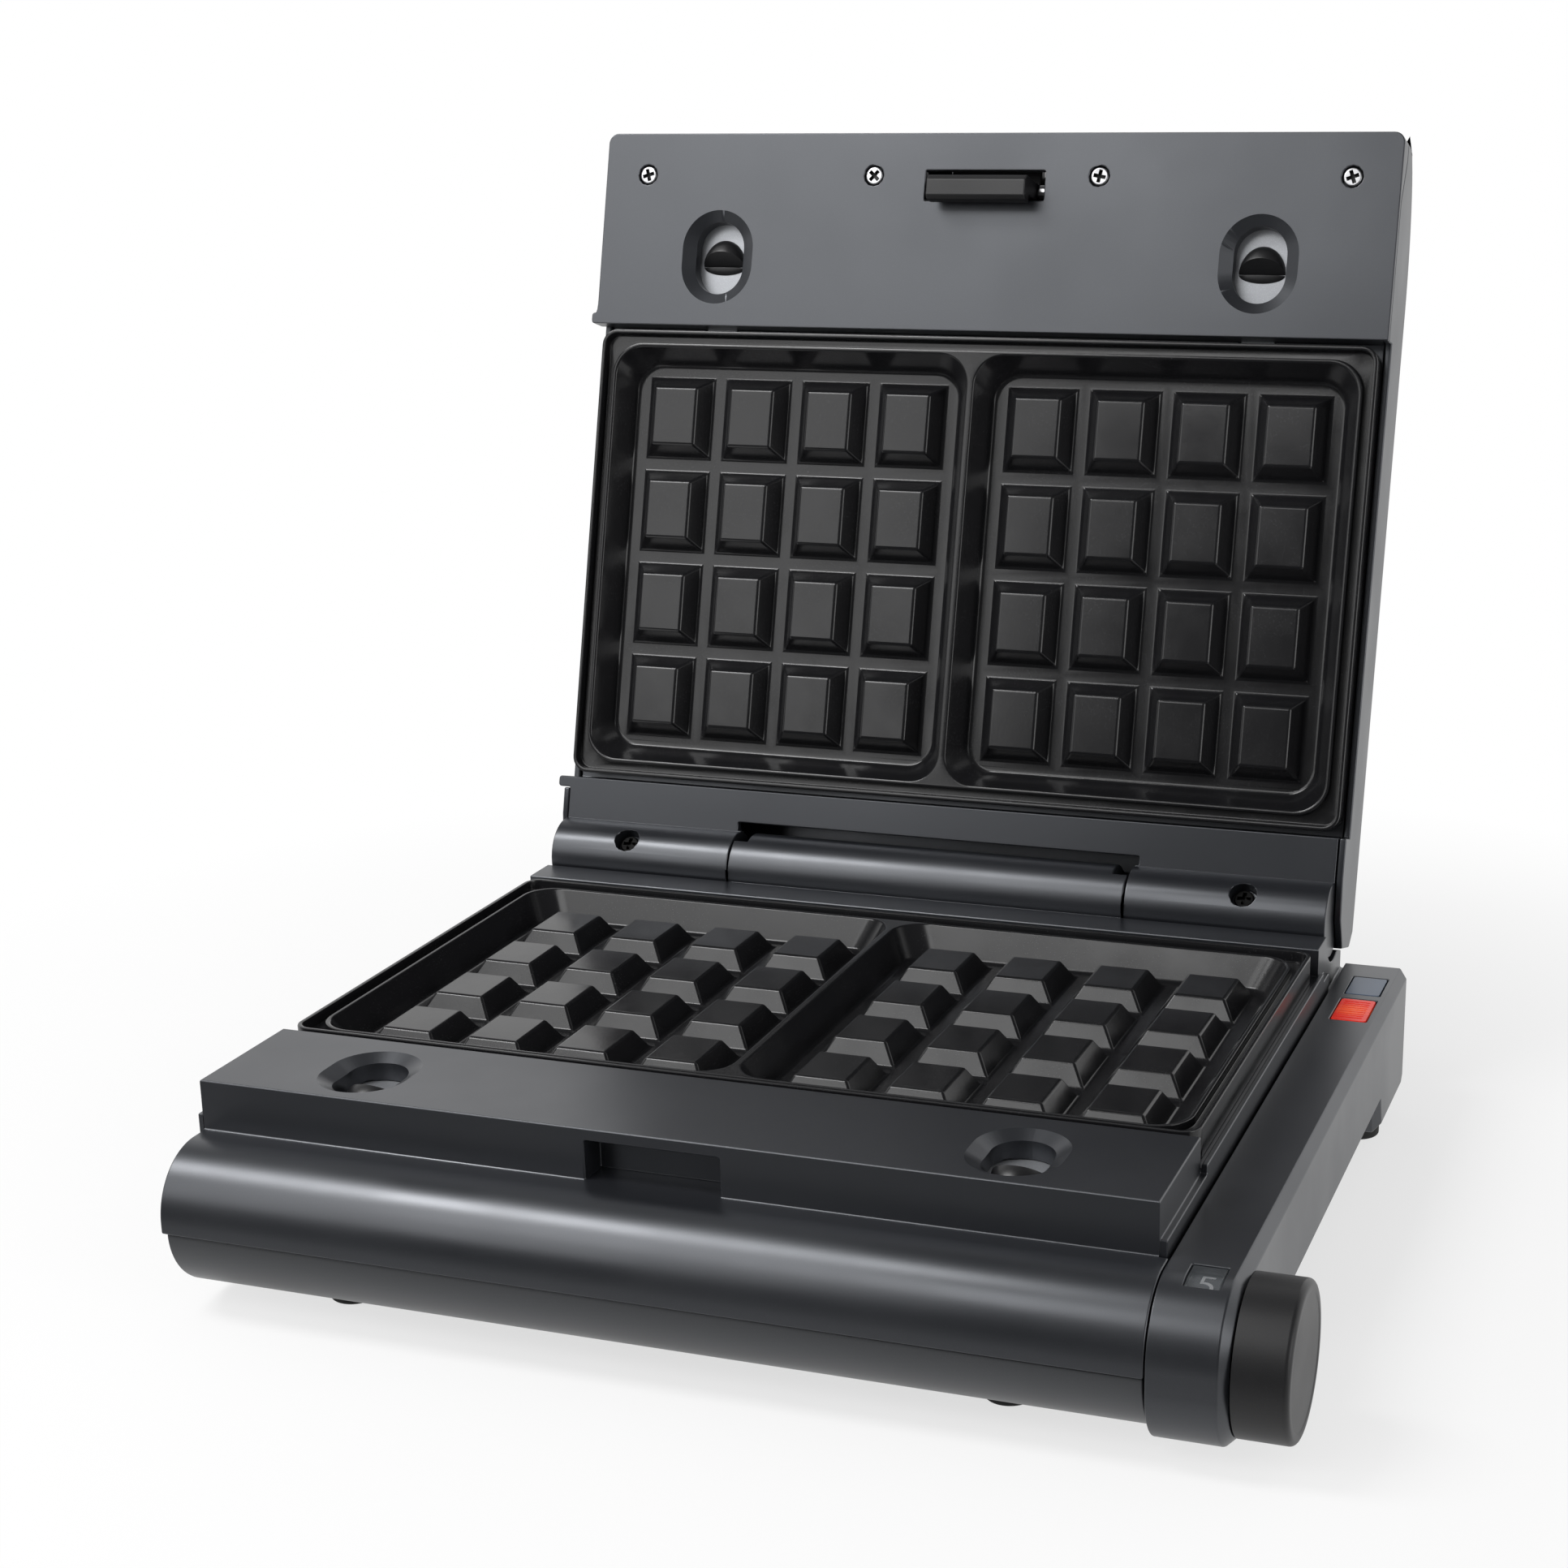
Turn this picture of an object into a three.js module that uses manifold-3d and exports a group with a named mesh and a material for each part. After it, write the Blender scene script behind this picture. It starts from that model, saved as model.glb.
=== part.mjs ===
// Snack maker with two hinged, non-stick waffle plates.
// Millimetres, +Z up, +X to the right of the person cooking, -Y towards that person.
// Deck frame: Z = 0 is the top face of the base and Y = 0 is the hinge line.
// Lid frame: the same axes with the lid shut, with its origin on the hinge axis.

import * as THREE from 'three';
import { mergeVertices } from 'three/addons/utils/BufferGeometryUtils.js';
import Module from 'manifold-3d';

const wasm = await Module();
wasm.setup();

// Clearances
const GAP = 0.3;
const RUNNING_GAP = 0.4;
const LID_GAP = 0.4;

// Deck and body of the base
const DECK_HALF_WIDTH = 125;
const PLATE_LENGTH = 141.4;
const PLATE_END_GAP = 1.7;
const FRONT_STRIP_WIDTH = 39.6;
const REAR_STRIP_FRONT = -24.2;
const FRONT_STRIP_BACK = REAR_STRIP_FRONT - PLATE_LENGTH - 2 * PLATE_END_GAP;
const DECK_FRONT = FRONT_STRIP_BACK - FRONT_STRIP_WIDTH;
const DECK_WALL = 13.6;
const SHELL_WALL = 2.4;
const REAR_WALL = 12;
const SPLIT_HEIGHT = -33;
const BELLY_DROP = 8.5;
const BELLY = SPLIT_HEIGHT - BELLY_DROP;
const SKIRT_THICKNESS = 1.8;
const SKIRT_TOP = -9.5;
const RAIL_TOP = -7;

// Roll along the front edge, split between housing and tray
const ROLL_REACH = 22.2;
const ROLL_FRONT = DECK_FRONT - ROLL_REACH;
const ROLL_TOP = -DECK_WALL + 0.2;
const ROLL_RADIUS = 17;
const ROLL_BOTTOM = -53.5;
const ROLL_DEPTH = 40.8;
const ROLL_SEGMENTS = 14;
const TRAY_INSET = 1.1;
const TRAY_WALL = 2.2;
const TRAY_END_INSET = 0.8;
const TRAY_ROLL_BACK = ROLL_FRONT + ROLL_DEPTH;
const TRAY_ROLL_LENGTH = 24;

// Hinge
const HINGE_RISE = 1.2;
const BARREL_RADIUS = 11;
const CENTRE_BARREL_HALF = 63.4;
const BARREL_NOTCH_WIDTH = 4.5;
const BARREL_NOTCH_FRONT = -4.5;
const BARREL_NOTCH_FLOOR = 6.6;
const CRADLE_CLEARANCE = 1;
const PIN_RADIUS = 3;
const PIN_GRIP = 25.4;
const PIN_INNER_X = CENTRE_BARREL_HALF - PIN_GRIP;
const PIN_END_INSET = 9;
const PIN_OUTER_X = DECK_HALF_WIDTH - PIN_END_INSET;
const OPEN_ANGLE = 105.7;
const BARREL_SIDES = 36;
const HINGE_SCREW_INSET = 26;
const HINGE_SCREW_X = DECK_HALF_WIDTH - HINGE_SCREW_INSET;
const HINGE_SCREW_TILT = 32.3;
const HINGE_SCREW_SEAT = BARREL_RADIUS - 4.8;
const HINGE_SCREW_HEAD = 2;
const HINGE_SCREW_RADIUS = 3;
const HINGE_HOLE_RADIUS = 4;

// Cooking plates
const PLATE_SIDE_GAP = 1.1;
const PLATE_HALF_WIDTH = DECK_HALF_WIDTH - PLATE_SIDE_GAP;
const PLATE_CORNER = 5;
const PLATE_RECESS = 0.1;
const PLATE_SKIRT_DEPTH = 7.9;
const PLATE_SHEET = 2;
const LIP_WIDTH = 1.3;
const GUTTER_WIDTH = 2.6;
const GUTTER_DEPTH = 3.2;
const BEAD_DEPTH = 1;
const BEAD_WIDTH = 1.2;
const DIVIDER_HALF = 1.05;
const POCKET_DRAFT = 4.6;
const POCKET_DEPTH = 9.9;
const POCKET_CORNER = 9;
const POCKET_WIDTH = PLATE_HALF_WIDTH - LIP_WIDTH - GUTTER_WIDTH - BEAD_WIDTH - DIVIDER_HALF;
const POCKET_LENGTH = PLATE_LENGTH - 2 * (LIP_WIDTH + GUTTER_WIDTH + BEAD_WIDTH);
const STUD_COLUMNS = 4;
const STUD_ROWS = 4;
const STUD_MARGIN_X = 2.275;
const STUD_MARGIN_Y = 1.8;
const STUD_PITCH_X = (POCKET_WIDTH - 2 * (POCKET_DRAFT + STUD_MARGIN_X)) / STUD_COLUMNS;
const STUD_PITCH_Y = (POCKET_LENGTH - 2 * (POCKET_DRAFT + STUD_MARGIN_Y)) / STUD_ROWS;
const GROOVE_WIDTH_X = 4.6;
const GROOVE_WIDTH_Y = 4.5;
const STUD_DRAFT = 3.55;
const STUD_TOP_DEPTH = 4;
const LEDGE_DEPTH = PLATE_SKIRT_DEPTH + GAP;
const LEDGE_WIDTH = 4;
const LEDGE_THICKNESS = 2.4;
const PLATE_CHANNEL = 1.3;

// Heating elements and reflectors
const HEATER_RADIUS = 3.2;
const HEATER_SIDE_INSET = 35.9;
const HEATER_END_INSET = 28.7;
const HEATER_HALF_WIDTH = PLATE_HALF_WIDTH - HEATER_SIDE_INSET;
const HEATER_HALF_LENGTH = PLATE_LENGTH / 2 - HEATER_END_INSET;
const HEATER_CORNER = 16;
const HEATER_TAIL = 14;
const PAN_THICKNESS = 0.8;
const PAN_HALF_WIDTH = DECK_HALF_WIDTH - 3.5;
const PAN_DRAFT = 3;

// Plate releases
const RELEASE_INSET = 38.7;
const RELEASE_SETBACK = 21.5;
const RELEASE_X = DECK_HALF_WIDTH - RELEASE_INSET;
const RELEASE_Y = FRONT_STRIP_BACK - RELEASE_SETBACK;
const WELL_WIDTH = 16;
const WELL_LENGTH = 22.6;
const RELEASE_WIDTH = WELL_WIDTH + 7.8;
const RELEASE_LENGTH = WELL_LENGTH + 6.6;
const WELL_BEVEL = 2.3;
const WELL_DEPTH = 6.6;
const WELL_RIM = 2;
const WELL_SEGMENTS = 7;
const GUIDE_HALF_LENGTH = 10;
const GUIDE_LIP = 1.8;
const SLIDE_THICKNESS = 2;
const SLIDE_SIDE = 2.4;
const SLIDE_TRAVEL = 3;
const THUMB_HALF_WIDTH = 7;
const THUMB_LENGTH = 8.4;
const THUMB_HEIGHT = 4.9;
const THUMB_SLOPE = 3.2;
const THUMB_OFFSET = 2;
const TONGUE_WIDTH = 10;
const TONGUE_THICKNESS = 1.6;
const TONGUE_ENGAGED = 2;
const TONGUE_CLEARANCE = 0.4;
const SPRING_RADIUS = 1.8;
const SPRING_REACH = 14.9;
const SPRING_STOP_Y = RELEASE_Y - SPRING_REACH;
const SPRING_STOP_THICKNESS = 1.6;

// Latch
const HOOK_HALF_WIDTH = 15.6;
const NOTCH_SIDE_CLEARANCE = 2.1;
const NOTCH_HALF_WIDTH = HOOK_HALF_WIDTH + NOTCH_SIDE_CLEARANCE;
const NOTCH_TOP = -3.2;
const NOTCH_DEPTH = 8.7;
const HOOK_REACH = 9;
const HOOK_STEM_CLEARANCE = 0.8;
const HOOK_STEM_THICKNESS = 5.2;
const HOOK_LIP = 2.4;
const HOOK_STEM_BACK = -DECK_FRONT + HOOK_STEM_CLEARANCE;
const HOOK_STEM_FRONT = HOOK_STEM_BACK + HOOK_STEM_THICKNESS;
const HOOK_NOSE = HOOK_STEM_BACK - HOOK_LIP;
const HOOK_PIVOT_DEPTH = 6.5;
const PAD_BOTTOM = 11.6;
const PAD_TOP = 15.8;
const PAD_REACH = 11.6;
const PAD_FRONT = HOOK_STEM_FRONT + PAD_REACH;
const PAD_HOLE_TOP = PAD_TOP + 2.6;
const LATCH_PIN_RADIUS = 1.5;
const LATCH_PIN_OVERHANG = 7;

// Lid
const LID_TIP_OVERHANG = 20.4;
const LID_TIP = -DECK_FRONT + LID_TIP_OVERHANG;
const LID_THICKNESS = 26;
const LID_OVERHANG = 1.4;
const LID_COVER_HALF = DECK_HALF_WIDTH + LID_OVERHANG;
const LID_COVER_WALL = 2;
const LID_SKIN = 2.6;
const LID_REAR = 8.5;
const LID_REAR_CHAMFER = 4.5;
const LID_NOSE_LENGTH = 49;
const LID_NOSE_DEPTH = 8;
const LID_TIP_DEPTH = 7;
const LID_TIP_FLAT = 7;
const LID_WEDGE_LENGTH = 24.5;
const LID_SCREW_SETBACK = 13;
const LID_SCREW_V = LID_TIP - LID_SCREW_SETBACK;
const LID_SCREW_OUTER_X = DECK_HALF_WIDTH - 13;
const LID_SCREW_INNER_X = 35.9;
const LID_SCREWS_X = [-LID_SCREW_OUTER_X, -LID_SCREW_INNER_X, LID_SCREW_INNER_X, LID_SCREW_OUTER_X];
const LID_BOSS_RADIUS = 4.6;
const LID_BOSS_DEPTH = 6.6;
const LID_CORNER = 3.2;
const LID_FLANGE = 1.9;
const LID_EAR = 1.8;
const LID_EAR_LENGTH = 3.4;
const LID_EAR_CORNER = 1.1;
const LID_EAR_FILLET = 4.6;
const RIM_RECESS = 7;

// Control arm, end ring, knob, drum and lamps
const ARM_SIDE_GAP = 2.5;
const ARM_WIDTH = 18.6;
const ARM_INNER = DECK_HALF_WIDTH + ARM_SIDE_GAP;
const ARM_OUTER = ARM_INNER + ARM_WIDTH;
const ARM_CHAMFER = 2.3;
const ARM_TOP = ROLL_TOP - 0.1;
const ARM_BELLY = BELLY + 0.2;
const ARM_REAR = 6;
const RING_DEPTH = 40.3;
const RING_BACK = ROLL_FRONT + RING_DEPTH;
const RING_SLOPE = 8.5;
const RING_CORNER = 17.2;
const RING_SEGMENTS = 12;
const ARM_LEG_BOTTOM = -50;
const ARM_LEG_LENGTH = 43;
const ARM_LEG_FRONT = ARM_REAR - ARM_LEG_LENGTH;
const ARM_WALL = 2.1;
const KNOB_SETBACK = 19.6;
const KNOB_AXIS_Y = ROLL_FRONT + KNOB_SETBACK;
const KNOB_AXIS_Z = (ROLL_TOP + ROLL_BOTTOM) / 2 + 0.25;
const KNOB_RADIUS = 18.8;
const KNOB_LENGTH = 13.4;
const KNOB_END = ARM_OUTER + KNOB_LENGTH;
const KNOB_CHAMFER = 1.5;
const KNOB_WALL = 2;
const KNOB_HUB_RADIUS = 6;
const SHAFT_RADIUS = 3;
const DRUM_RADIUS = 17.1;
const DRUM_WALL = 1.4;
const DRUM_HUB_RADIUS = 5.5;
const WINDOW_WIDTH = 8.6;
const WINDOW_LENGTH = 9.8;
const WINDOW_SETBACK = 11.5;
const WINDOW_INSET = 5.45;
const WINDOW_X = [ARM_INNER + WINDOW_INSET, ARM_INNER + WINDOW_INSET + WINDOW_WIDTH];
const WINDOW_Y = [ROLL_FRONT + WINDOW_SETBACK, ROLL_FRONT + WINDOW_SETBACK + WINDOW_LENGTH];
const LAMP_WIDTH = 10.3;
const LAMP_X = [ARM_INNER + 4.5, ARM_INNER + 4.5 + LAMP_WIDTH];
const READY_LAMP_LENGTH = 15.6;
const POWER_LAMP_LENGTH = 18.4;
const READY_LAMP_SETBACK = 11.2;
const POWER_LAMP_SETBACK = 30.6;
const READY_LAMP_Y = [ARM_REAR - READY_LAMP_SETBACK - READY_LAMP_LENGTH, ARM_REAR - READY_LAMP_SETBACK];
const POWER_LAMP_Y = [ARM_REAR - POWER_LAMP_SETBACK - POWER_LAMP_LENGTH, ARM_REAR - POWER_LAMP_SETBACK];
const LENS_HEIGHT = 5;
const BOARD_THICKNESS = 1.6;
const BOARD_MARGIN = 2;
const THERMOSTAT_DEPTH = 12;
const THERMOSTAT_HALF = 11;
const THERMOSTAT_DROP = 9;

// Feet, screws and inner electrical pieces
const FOOT_HEIGHT = 3.5;
const FOOT_BOTTOM = ROLL_BOTTOM - FOOT_HEIGHT;
const FOOT_RADIUS = 6.3;
const FOOT_PEG_RADIUS = 2;
const FRONT_FOOT_PEG = 1.8;
const REAR_FOOT_PEG = 2.4;
const FRONT_FOOT_INSET = 37;
const FRONT_FOOT_SETBACK = 27.8;
const REAR_FOOT_INSET = 9;
const REAR_FOOT_SETBACK = 24;
const FRONT_FOOT_X = DECK_HALF_WIDTH - FRONT_FOOT_INSET;
const FRONT_FOOT_Y = ROLL_FRONT + FRONT_FOOT_SETBACK;
const REAR_FOOT_Y = ARM_REAR - REAR_FOOT_SETBACK;
const REAR_LEFT_FOOT_X = -DECK_HALF_WIDTH + REAR_FOOT_INSET;
const REAR_RIGHT_FOOT_X = ARM_INNER + REAR_FOOT_INSET + 0.4;
const SCREW_HEAD_RADIUS = 2.8;
const SCREW_HOLE_RADIUS = 3.2;
const SCREW_SHANK_RADIUS = 1.4;
const SCREW_HEAD_HEIGHT = 1.6;
const SCREW_LENGTH = 17;
const SCREW_SEAT = 2.6;
const SCREW_BOSS_RADIUS = 4;
const FRONT_SCREW_OFFSET = 26.3;
const REAR_SCREW_INSET = 25;
const FRONT_SCREW_SETBACK = 17;
const FRONT_SCREW_X = RELEASE_X - FRONT_SCREW_OFFSET;
const REAR_SCREW_X = DECK_HALF_WIDTH - REAR_SCREW_INSET;
const FRONT_SCREW_Y = FRONT_STRIP_BACK - FRONT_SCREW_SETBACK;
const BASE_SCREWS = [
  { x: -FRONT_SCREW_X, y: FRONT_SCREW_Y, bossTop: -1 },
  { x: FRONT_SCREW_X, y: FRONT_SCREW_Y, bossTop: -1 },
  { x: -REAR_SCREW_X, y: 0, bossTop: -13 },
  { x: REAR_SCREW_X, y: 0, bossTop: -13 },
];
const GLAND_INSET = 35;
const GLAND_X = DECK_HALF_WIDTH - GLAND_INSET;
const GLAND_Z = SPLIT_HEIGHT + 9;
const GLAND_RADIUS = 6;
const GLAND_FLANGE_RADIUS = 8;
const GLAND_BORE_RADIUS = 3.6;
const WIRE_HOLE_Y = -100;
const WIRE_HOLE_Z = -22;
const WIRE_HOLE_RADIUS = 4;
const FUSE_RADIUS = 3;
const FUSE_LENGTH = 22;
const FUSE_X = 40;
const FUSE_OFFSET = 30;
const TERMINAL_WIDTH = 24;
const TERMINAL_LENGTH = 18;
const TERMINAL_HEIGHT = 12;
const TERMINAL_OFFSET = 30;
const TERMINAL_X = GLAND_X - TERMINAL_OFFSET;
const TERMINAL_Y = -34;
const OVERRUN = 20;

// Materials
const plastic = { color: 0x3b3c40, roughness: 0.42, metalness: 0.1 };
const MATERIALS = {
  housing: new THREE.MeshStandardMaterial(plastic),
  roll: new THREE.MeshStandardMaterial({ color: 0x35363a, roughness: 0.34, metalness: 0.25 }),
  darkPlastic: new THREE.MeshStandardMaterial({ color: 0x1c1d1f, roughness: 0.5, metalness: 0 }),
  nonStick: new THREE.MeshStandardMaterial({ color: 0x17181a, roughness: 0.3, metalness: 0.3 }),
  steel: new THREE.MeshStandardMaterial({ color: 0xb8bbc0, roughness: 0.3, metalness: 1 }),
  pan: new THREE.MeshStandardMaterial({ color: 0xa7aaae, roughness: 0.4, metalness: 1 }),
  rubber: new THREE.MeshStandardMaterial({ color: 0x141414, roughness: 0.9, metalness: 0 }),
  redLens: new THREE.MeshStandardMaterial({ color: 0xd8322a, roughness: 0.15, metalness: 0 }),
  greyLens: new THREE.MeshStandardMaterial({ color: 0x5f6b7c, roughness: 0.15, metalness: 0 }),
  board: new THREE.MeshStandardMaterial({ color: 0x2c5a35, roughness: 0.6, metalness: 0 }),
  ceramic: new THREE.MeshStandardMaterial({ color: 0xe4e0d6, roughness: 0.7, metalness: 0 }),
};

// Derived places
const rollAxisY = ROLL_FRONT + ROLL_RADIUS;
const rollAxisZ = ROLL_TOP - ROLL_RADIUS;
const armInside = ARM_OUTER - ARM_WALL - 0.3;
const plateMiddle = (FRONT_STRIP_BACK + REAR_STRIP_FRONT) / 2;
const pocketFront = POCKET_LENGTH / 2;
const openingHalfWidth = DECK_HALF_WIDTH - LEDGE_WIDTH - 1;
const plateBodyHalfWidth = openingHalfWidth - 0.6;
const plateBodyHalfLength = (REAR_STRIP_FRONT - FRONT_STRIP_BACK) / 2 - LEDGE_WIDTH - 0.6;
const faceDrop = HINGE_RISE - LID_GAP;
const lidFrameHalf = LID_COVER_HALF - LID_COVER_WALL - GAP;
const barrelInnerX = CENTRE_BARREL_HALF + RUNNING_GAP;
const ledgeUnderside = LEDGE_DEPTH + LEDGE_THICKNESS;
const EAR_ENDS = [FRONT_STRIP_BACK - LID_EAR_LENGTH, REAR_STRIP_FRONT];
const wedgeRoot = LID_TIP - LID_WEDGE_LENGTH + (LID_WEDGE_LENGTH - LID_TIP_FLAT) * (LID_FLANGE / LID_TIP_DEPTH);
const panDepth = POCKET_DEPTH + PLATE_SHEET + PLATE_RECESS + 2 * GAP + 2 * HEATER_RADIUS;

// Conversion between three.js geometry and solids that can be joined and cut

function solid(geometry) {
  const bare = new THREE.BufferGeometry();
  bare.setAttribute('position', geometry.getAttribute('position').clone());
  if (geometry.index) bare.setIndex(geometry.index.clone());
  const merged = mergeVertices(bare, 1e-4);
  const corners = merged.index.array;
  const kept = [];
  for (let i = 0; i < corners.length; i += 3) {
    const [a, b, c] = [corners[i], corners[i + 1], corners[i + 2]];
    if (a !== b && b !== c && c !== a) kept.push(a, b, c);
  }
  return new wasm.Manifold(new wasm.Mesh({
    numProp: 3,
    vertProperties: new Float32Array(merged.getAttribute('position').array),
    triVerts: new Uint32Array(kept),
  }));
}

function geometryOf(body) {
  const mesh = body.getMesh();
  const geometry = new THREE.BufferGeometry();
  geometry.setAttribute('position', new THREE.BufferAttribute(new Float32Array(mesh.vertProperties), 3));
  geometry.setIndex(new THREE.BufferAttribute(new Uint32Array(mesh.triVerts), 1));
  const flat = geometry.toNonIndexed();
  flat.computeVertexNormals();
  return flat;
}

// Basic shapes

function box(x0, x1, y0, y1, z0, z1) {
  const geometry = new THREE.BoxGeometry(x1 - x0, y1 - y0, z1 - z0);
  geometry.translate((x0 + x1) / 2, (y0 + y1) / 2, (z0 + z1) / 2);
  return solid(geometry);
}

// A YZ outline drawn out from x0 to x1
function prismX(shape, x0, x1, curveSegments = 8) {
  const geometry = new THREE.ExtrudeGeometry(shape, { depth: x1 - x0, bevelEnabled: false, curveSegments });
  const turn = new THREE.Matrix4().set(0, 0, 1, x0, 1, 0, 0, 0, 0, 1, 0, 0, 0, 0, 0, 1);
  geometry.applyMatrix4(turn);
  return solid(geometry);
}

// An XY outline drawn out from z0 to z1
function prismZ(shape, z0, z1, curveSegments = 4) {
  const geometry = new THREE.ExtrudeGeometry(shape, { depth: z1 - z0, bevelEnabled: false, curveSegments });
  geometry.translate(0, 0, z0);
  return solid(geometry);
}

// The same with sloping walls: the outline is true at z1, smaller by the draft at z0,
// and the walls run on past z1 by the given length
function taperedZ(shape, z0, z1, beyond, centre, size, draft, curveSegments = 4) {
  const depth = z1 - z0 + beyond;
  const geometry = new THREE.ExtrudeGeometry(shape, { depth, bevelEnabled: false, curveSegments });
  geometry.translate(0, 0, z0);
  const position = geometry.getAttribute('position');
  const overrun = (draft * beyond) / (z1 - z0);
  for (let i = 0; i < position.count; i += 1) {
    const change = position.getZ(i) < (z0 + z1) / 2 ? -draft : overrun;
    position.setX(i, centre[0] + (position.getX(i) - centre[0]) * (1 + (2 * change) / size[0]));
    position.setY(i, centre[1] + (position.getY(i) - centre[1]) * (1 + (2 * change) / size[1]));
  }
  return solid(geometry);
}

function rodX(y, z, radius, x0, x1, segments = 16) {
  const geometry = new THREE.CylinderGeometry(radius, radius, x1 - x0, segments);
  geometry.rotateZ(Math.PI / 2);
  geometry.translate((x0 + x1) / 2, y, z);
  return solid(geometry);
}

function rodY(x, z, radius, y0, y1, segments = 12) {
  const geometry = new THREE.CylinderGeometry(radius, radius, y1 - y0, segments);
  geometry.translate(x, (y0 + y1) / 2, z);
  return solid(geometry);
}

function rodZ(x, y, radius, z0, z1, segments = 12) {
  const geometry = new THREE.CylinderGeometry(radius, radius, z1 - z0, segments);
  geometry.rotateX(Math.PI / 2);
  geometry.translate(x, y, (z0 + z1) / 2);
  return solid(geometry);
}

function roundedRectangle(x0, x1, y0, y1, radius) {
  const shape = new THREE.Shape();
  shape.moveTo(x0 + radius, y0);
  shape.lineTo(x1 - radius, y0);
  shape.absarc(x1 - radius, y0 + radius, radius, -Math.PI / 2, 0);
  shape.lineTo(x1, y1 - radius);
  shape.absarc(x1 - radius, y1 - radius, radius, 0, Math.PI / 2);
  shape.lineTo(x0 + radius, y1);
  shape.absarc(x0 + radius, y1 - radius, radius, Math.PI / 2, Math.PI);
  shape.lineTo(x0, y0 + radius);
  shape.absarc(x0 + radius, y0 + radius, radius, Math.PI, 1.5 * Math.PI);
  return shape;
}

function stadium(x, y, width, length) {
  const radius = width / 2 - 0.01;
  return roundedRectangle(x - width / 2, x + width / 2, y - length / 2, y + length / 2, radius);
}

function outline(points) {
  return new THREE.Shape(points.map(([y, z]) => new THREE.Vector2(y, z)));
}

function union(bodies) {
  return bodies.reduce((whole, piece) => whole.add(piece));
}

function mirroredX(makeBody) {
  return [makeBody(-1), makeBody(1)];
}

// A box between two distances from the middle plane, on one side
function sideBox(side, near, far, y0, y1, z0, z1) {
  return box(Math.min(side * near, side * far), Math.max(side * near, side * far), y0, y1, z0, z1);
}

// The object's groups

const snackMaker = new THREE.Group();
const base = new THREE.Group();
const lid = new THREE.Group();
snackMaker.add(base, lid);
lid.position.set(0, 0, HINGE_RISE);
lid.rotation.x = THREE.MathUtils.degToRad(-OPEN_ANGLE);

function addPiece(group, name, body, material) {
  const mesh = new THREE.Mesh(geometryOf(body), MATERIALS[material]);
  mesh.name = name;
  group.add(mesh);
  return mesh;
}

// Plate release: well, guides and slide.
// Frame: the outer face is at Z = 0, the inside is below it, and the plate lies towards +Y.

function releaseWell(x) {
  const outline = stadium(x, RELEASE_Y, WELL_WIDTH + 2 * WELL_RIM, WELL_LENGTH + 2 * WELL_RIM);
  const shaft = prismZ(outline, -WELL_DEPTH, -1, WELL_SEGMENTS);
  const slideTop = -WELL_DEPTH - GAP;
  const slideBottom = slideTop - SLIDE_THICKNESS;
  const half = WELL_WIDTH / 2 + SLIDE_SIDE;
  const [guideFront, guideBack] = [RELEASE_Y - GUIDE_HALF_LENGTH, RELEASE_Y + GUIDE_HALF_LENGTH];
  const lipBottom = slideBottom - GAP - GUIDE_LIP;
  const guides = mirroredX((side) => {
    const [near, far] = [x + side * (half + GAP), x + side * (half + SLIDE_SIDE)];
    const lipEdge = x + side * (half - WELL_RIM);
    const wall = box(Math.min(near, far), Math.max(near, far), guideFront, guideBack, lipBottom, -1);
    const lip = box(
      Math.min(lipEdge, far), Math.max(lipEdge, far), guideFront, guideBack, lipBottom, slideBottom - GAP,
    );
    return wall.add(lip);
  });
  const stop = box(
    x - 2 * WELL_RIM, x + 2 * WELL_RIM, SPRING_STOP_Y - SPRING_STOP_THICKNESS, SPRING_STOP_Y,
    slideBottom - 2 * SPRING_RADIUS - 1.4, -1,
  );
  return union([shaft, stop, ...guides]);
}

function releaseHole(x) {
  const bevel = taperedZ(
    stadium(x, RELEASE_Y, RELEASE_WIDTH, RELEASE_LENGTH), -WELL_BEVEL, 0, 1, [x, RELEASE_Y],
    [RELEASE_WIDTH, RELEASE_LENGTH], (RELEASE_WIDTH - WELL_WIDTH) / 2, WELL_SEGMENTS,
  );
  const shaft = prismZ(
    stadium(x, RELEASE_Y, WELL_WIDTH, WELL_LENGTH), -WELL_DEPTH - 1, -WELL_BEVEL / 2, WELL_SEGMENTS,
  );
  return bevel.add(shaft);
}

const tongueTop = -LEDGE_DEPTH - TONGUE_CLEARANCE;
const tongueBottom = tongueTop - TONGUE_THICKNESS;
const tongueTip = plateMiddle - plateBodyHalfLength + TONGUE_ENGAGED;

function tongueSlot(x) {
  const half = TONGUE_WIDTH / 2 + TONGUE_CLEARANCE;
  return box(
    x - half, x + half, FRONT_STRIP_BACK - LEDGE_WIDTH, tongueTip + 1,
    tongueBottom - TONGUE_CLEARANCE, tongueTop + TONGUE_CLEARANCE,
  );
}

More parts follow.
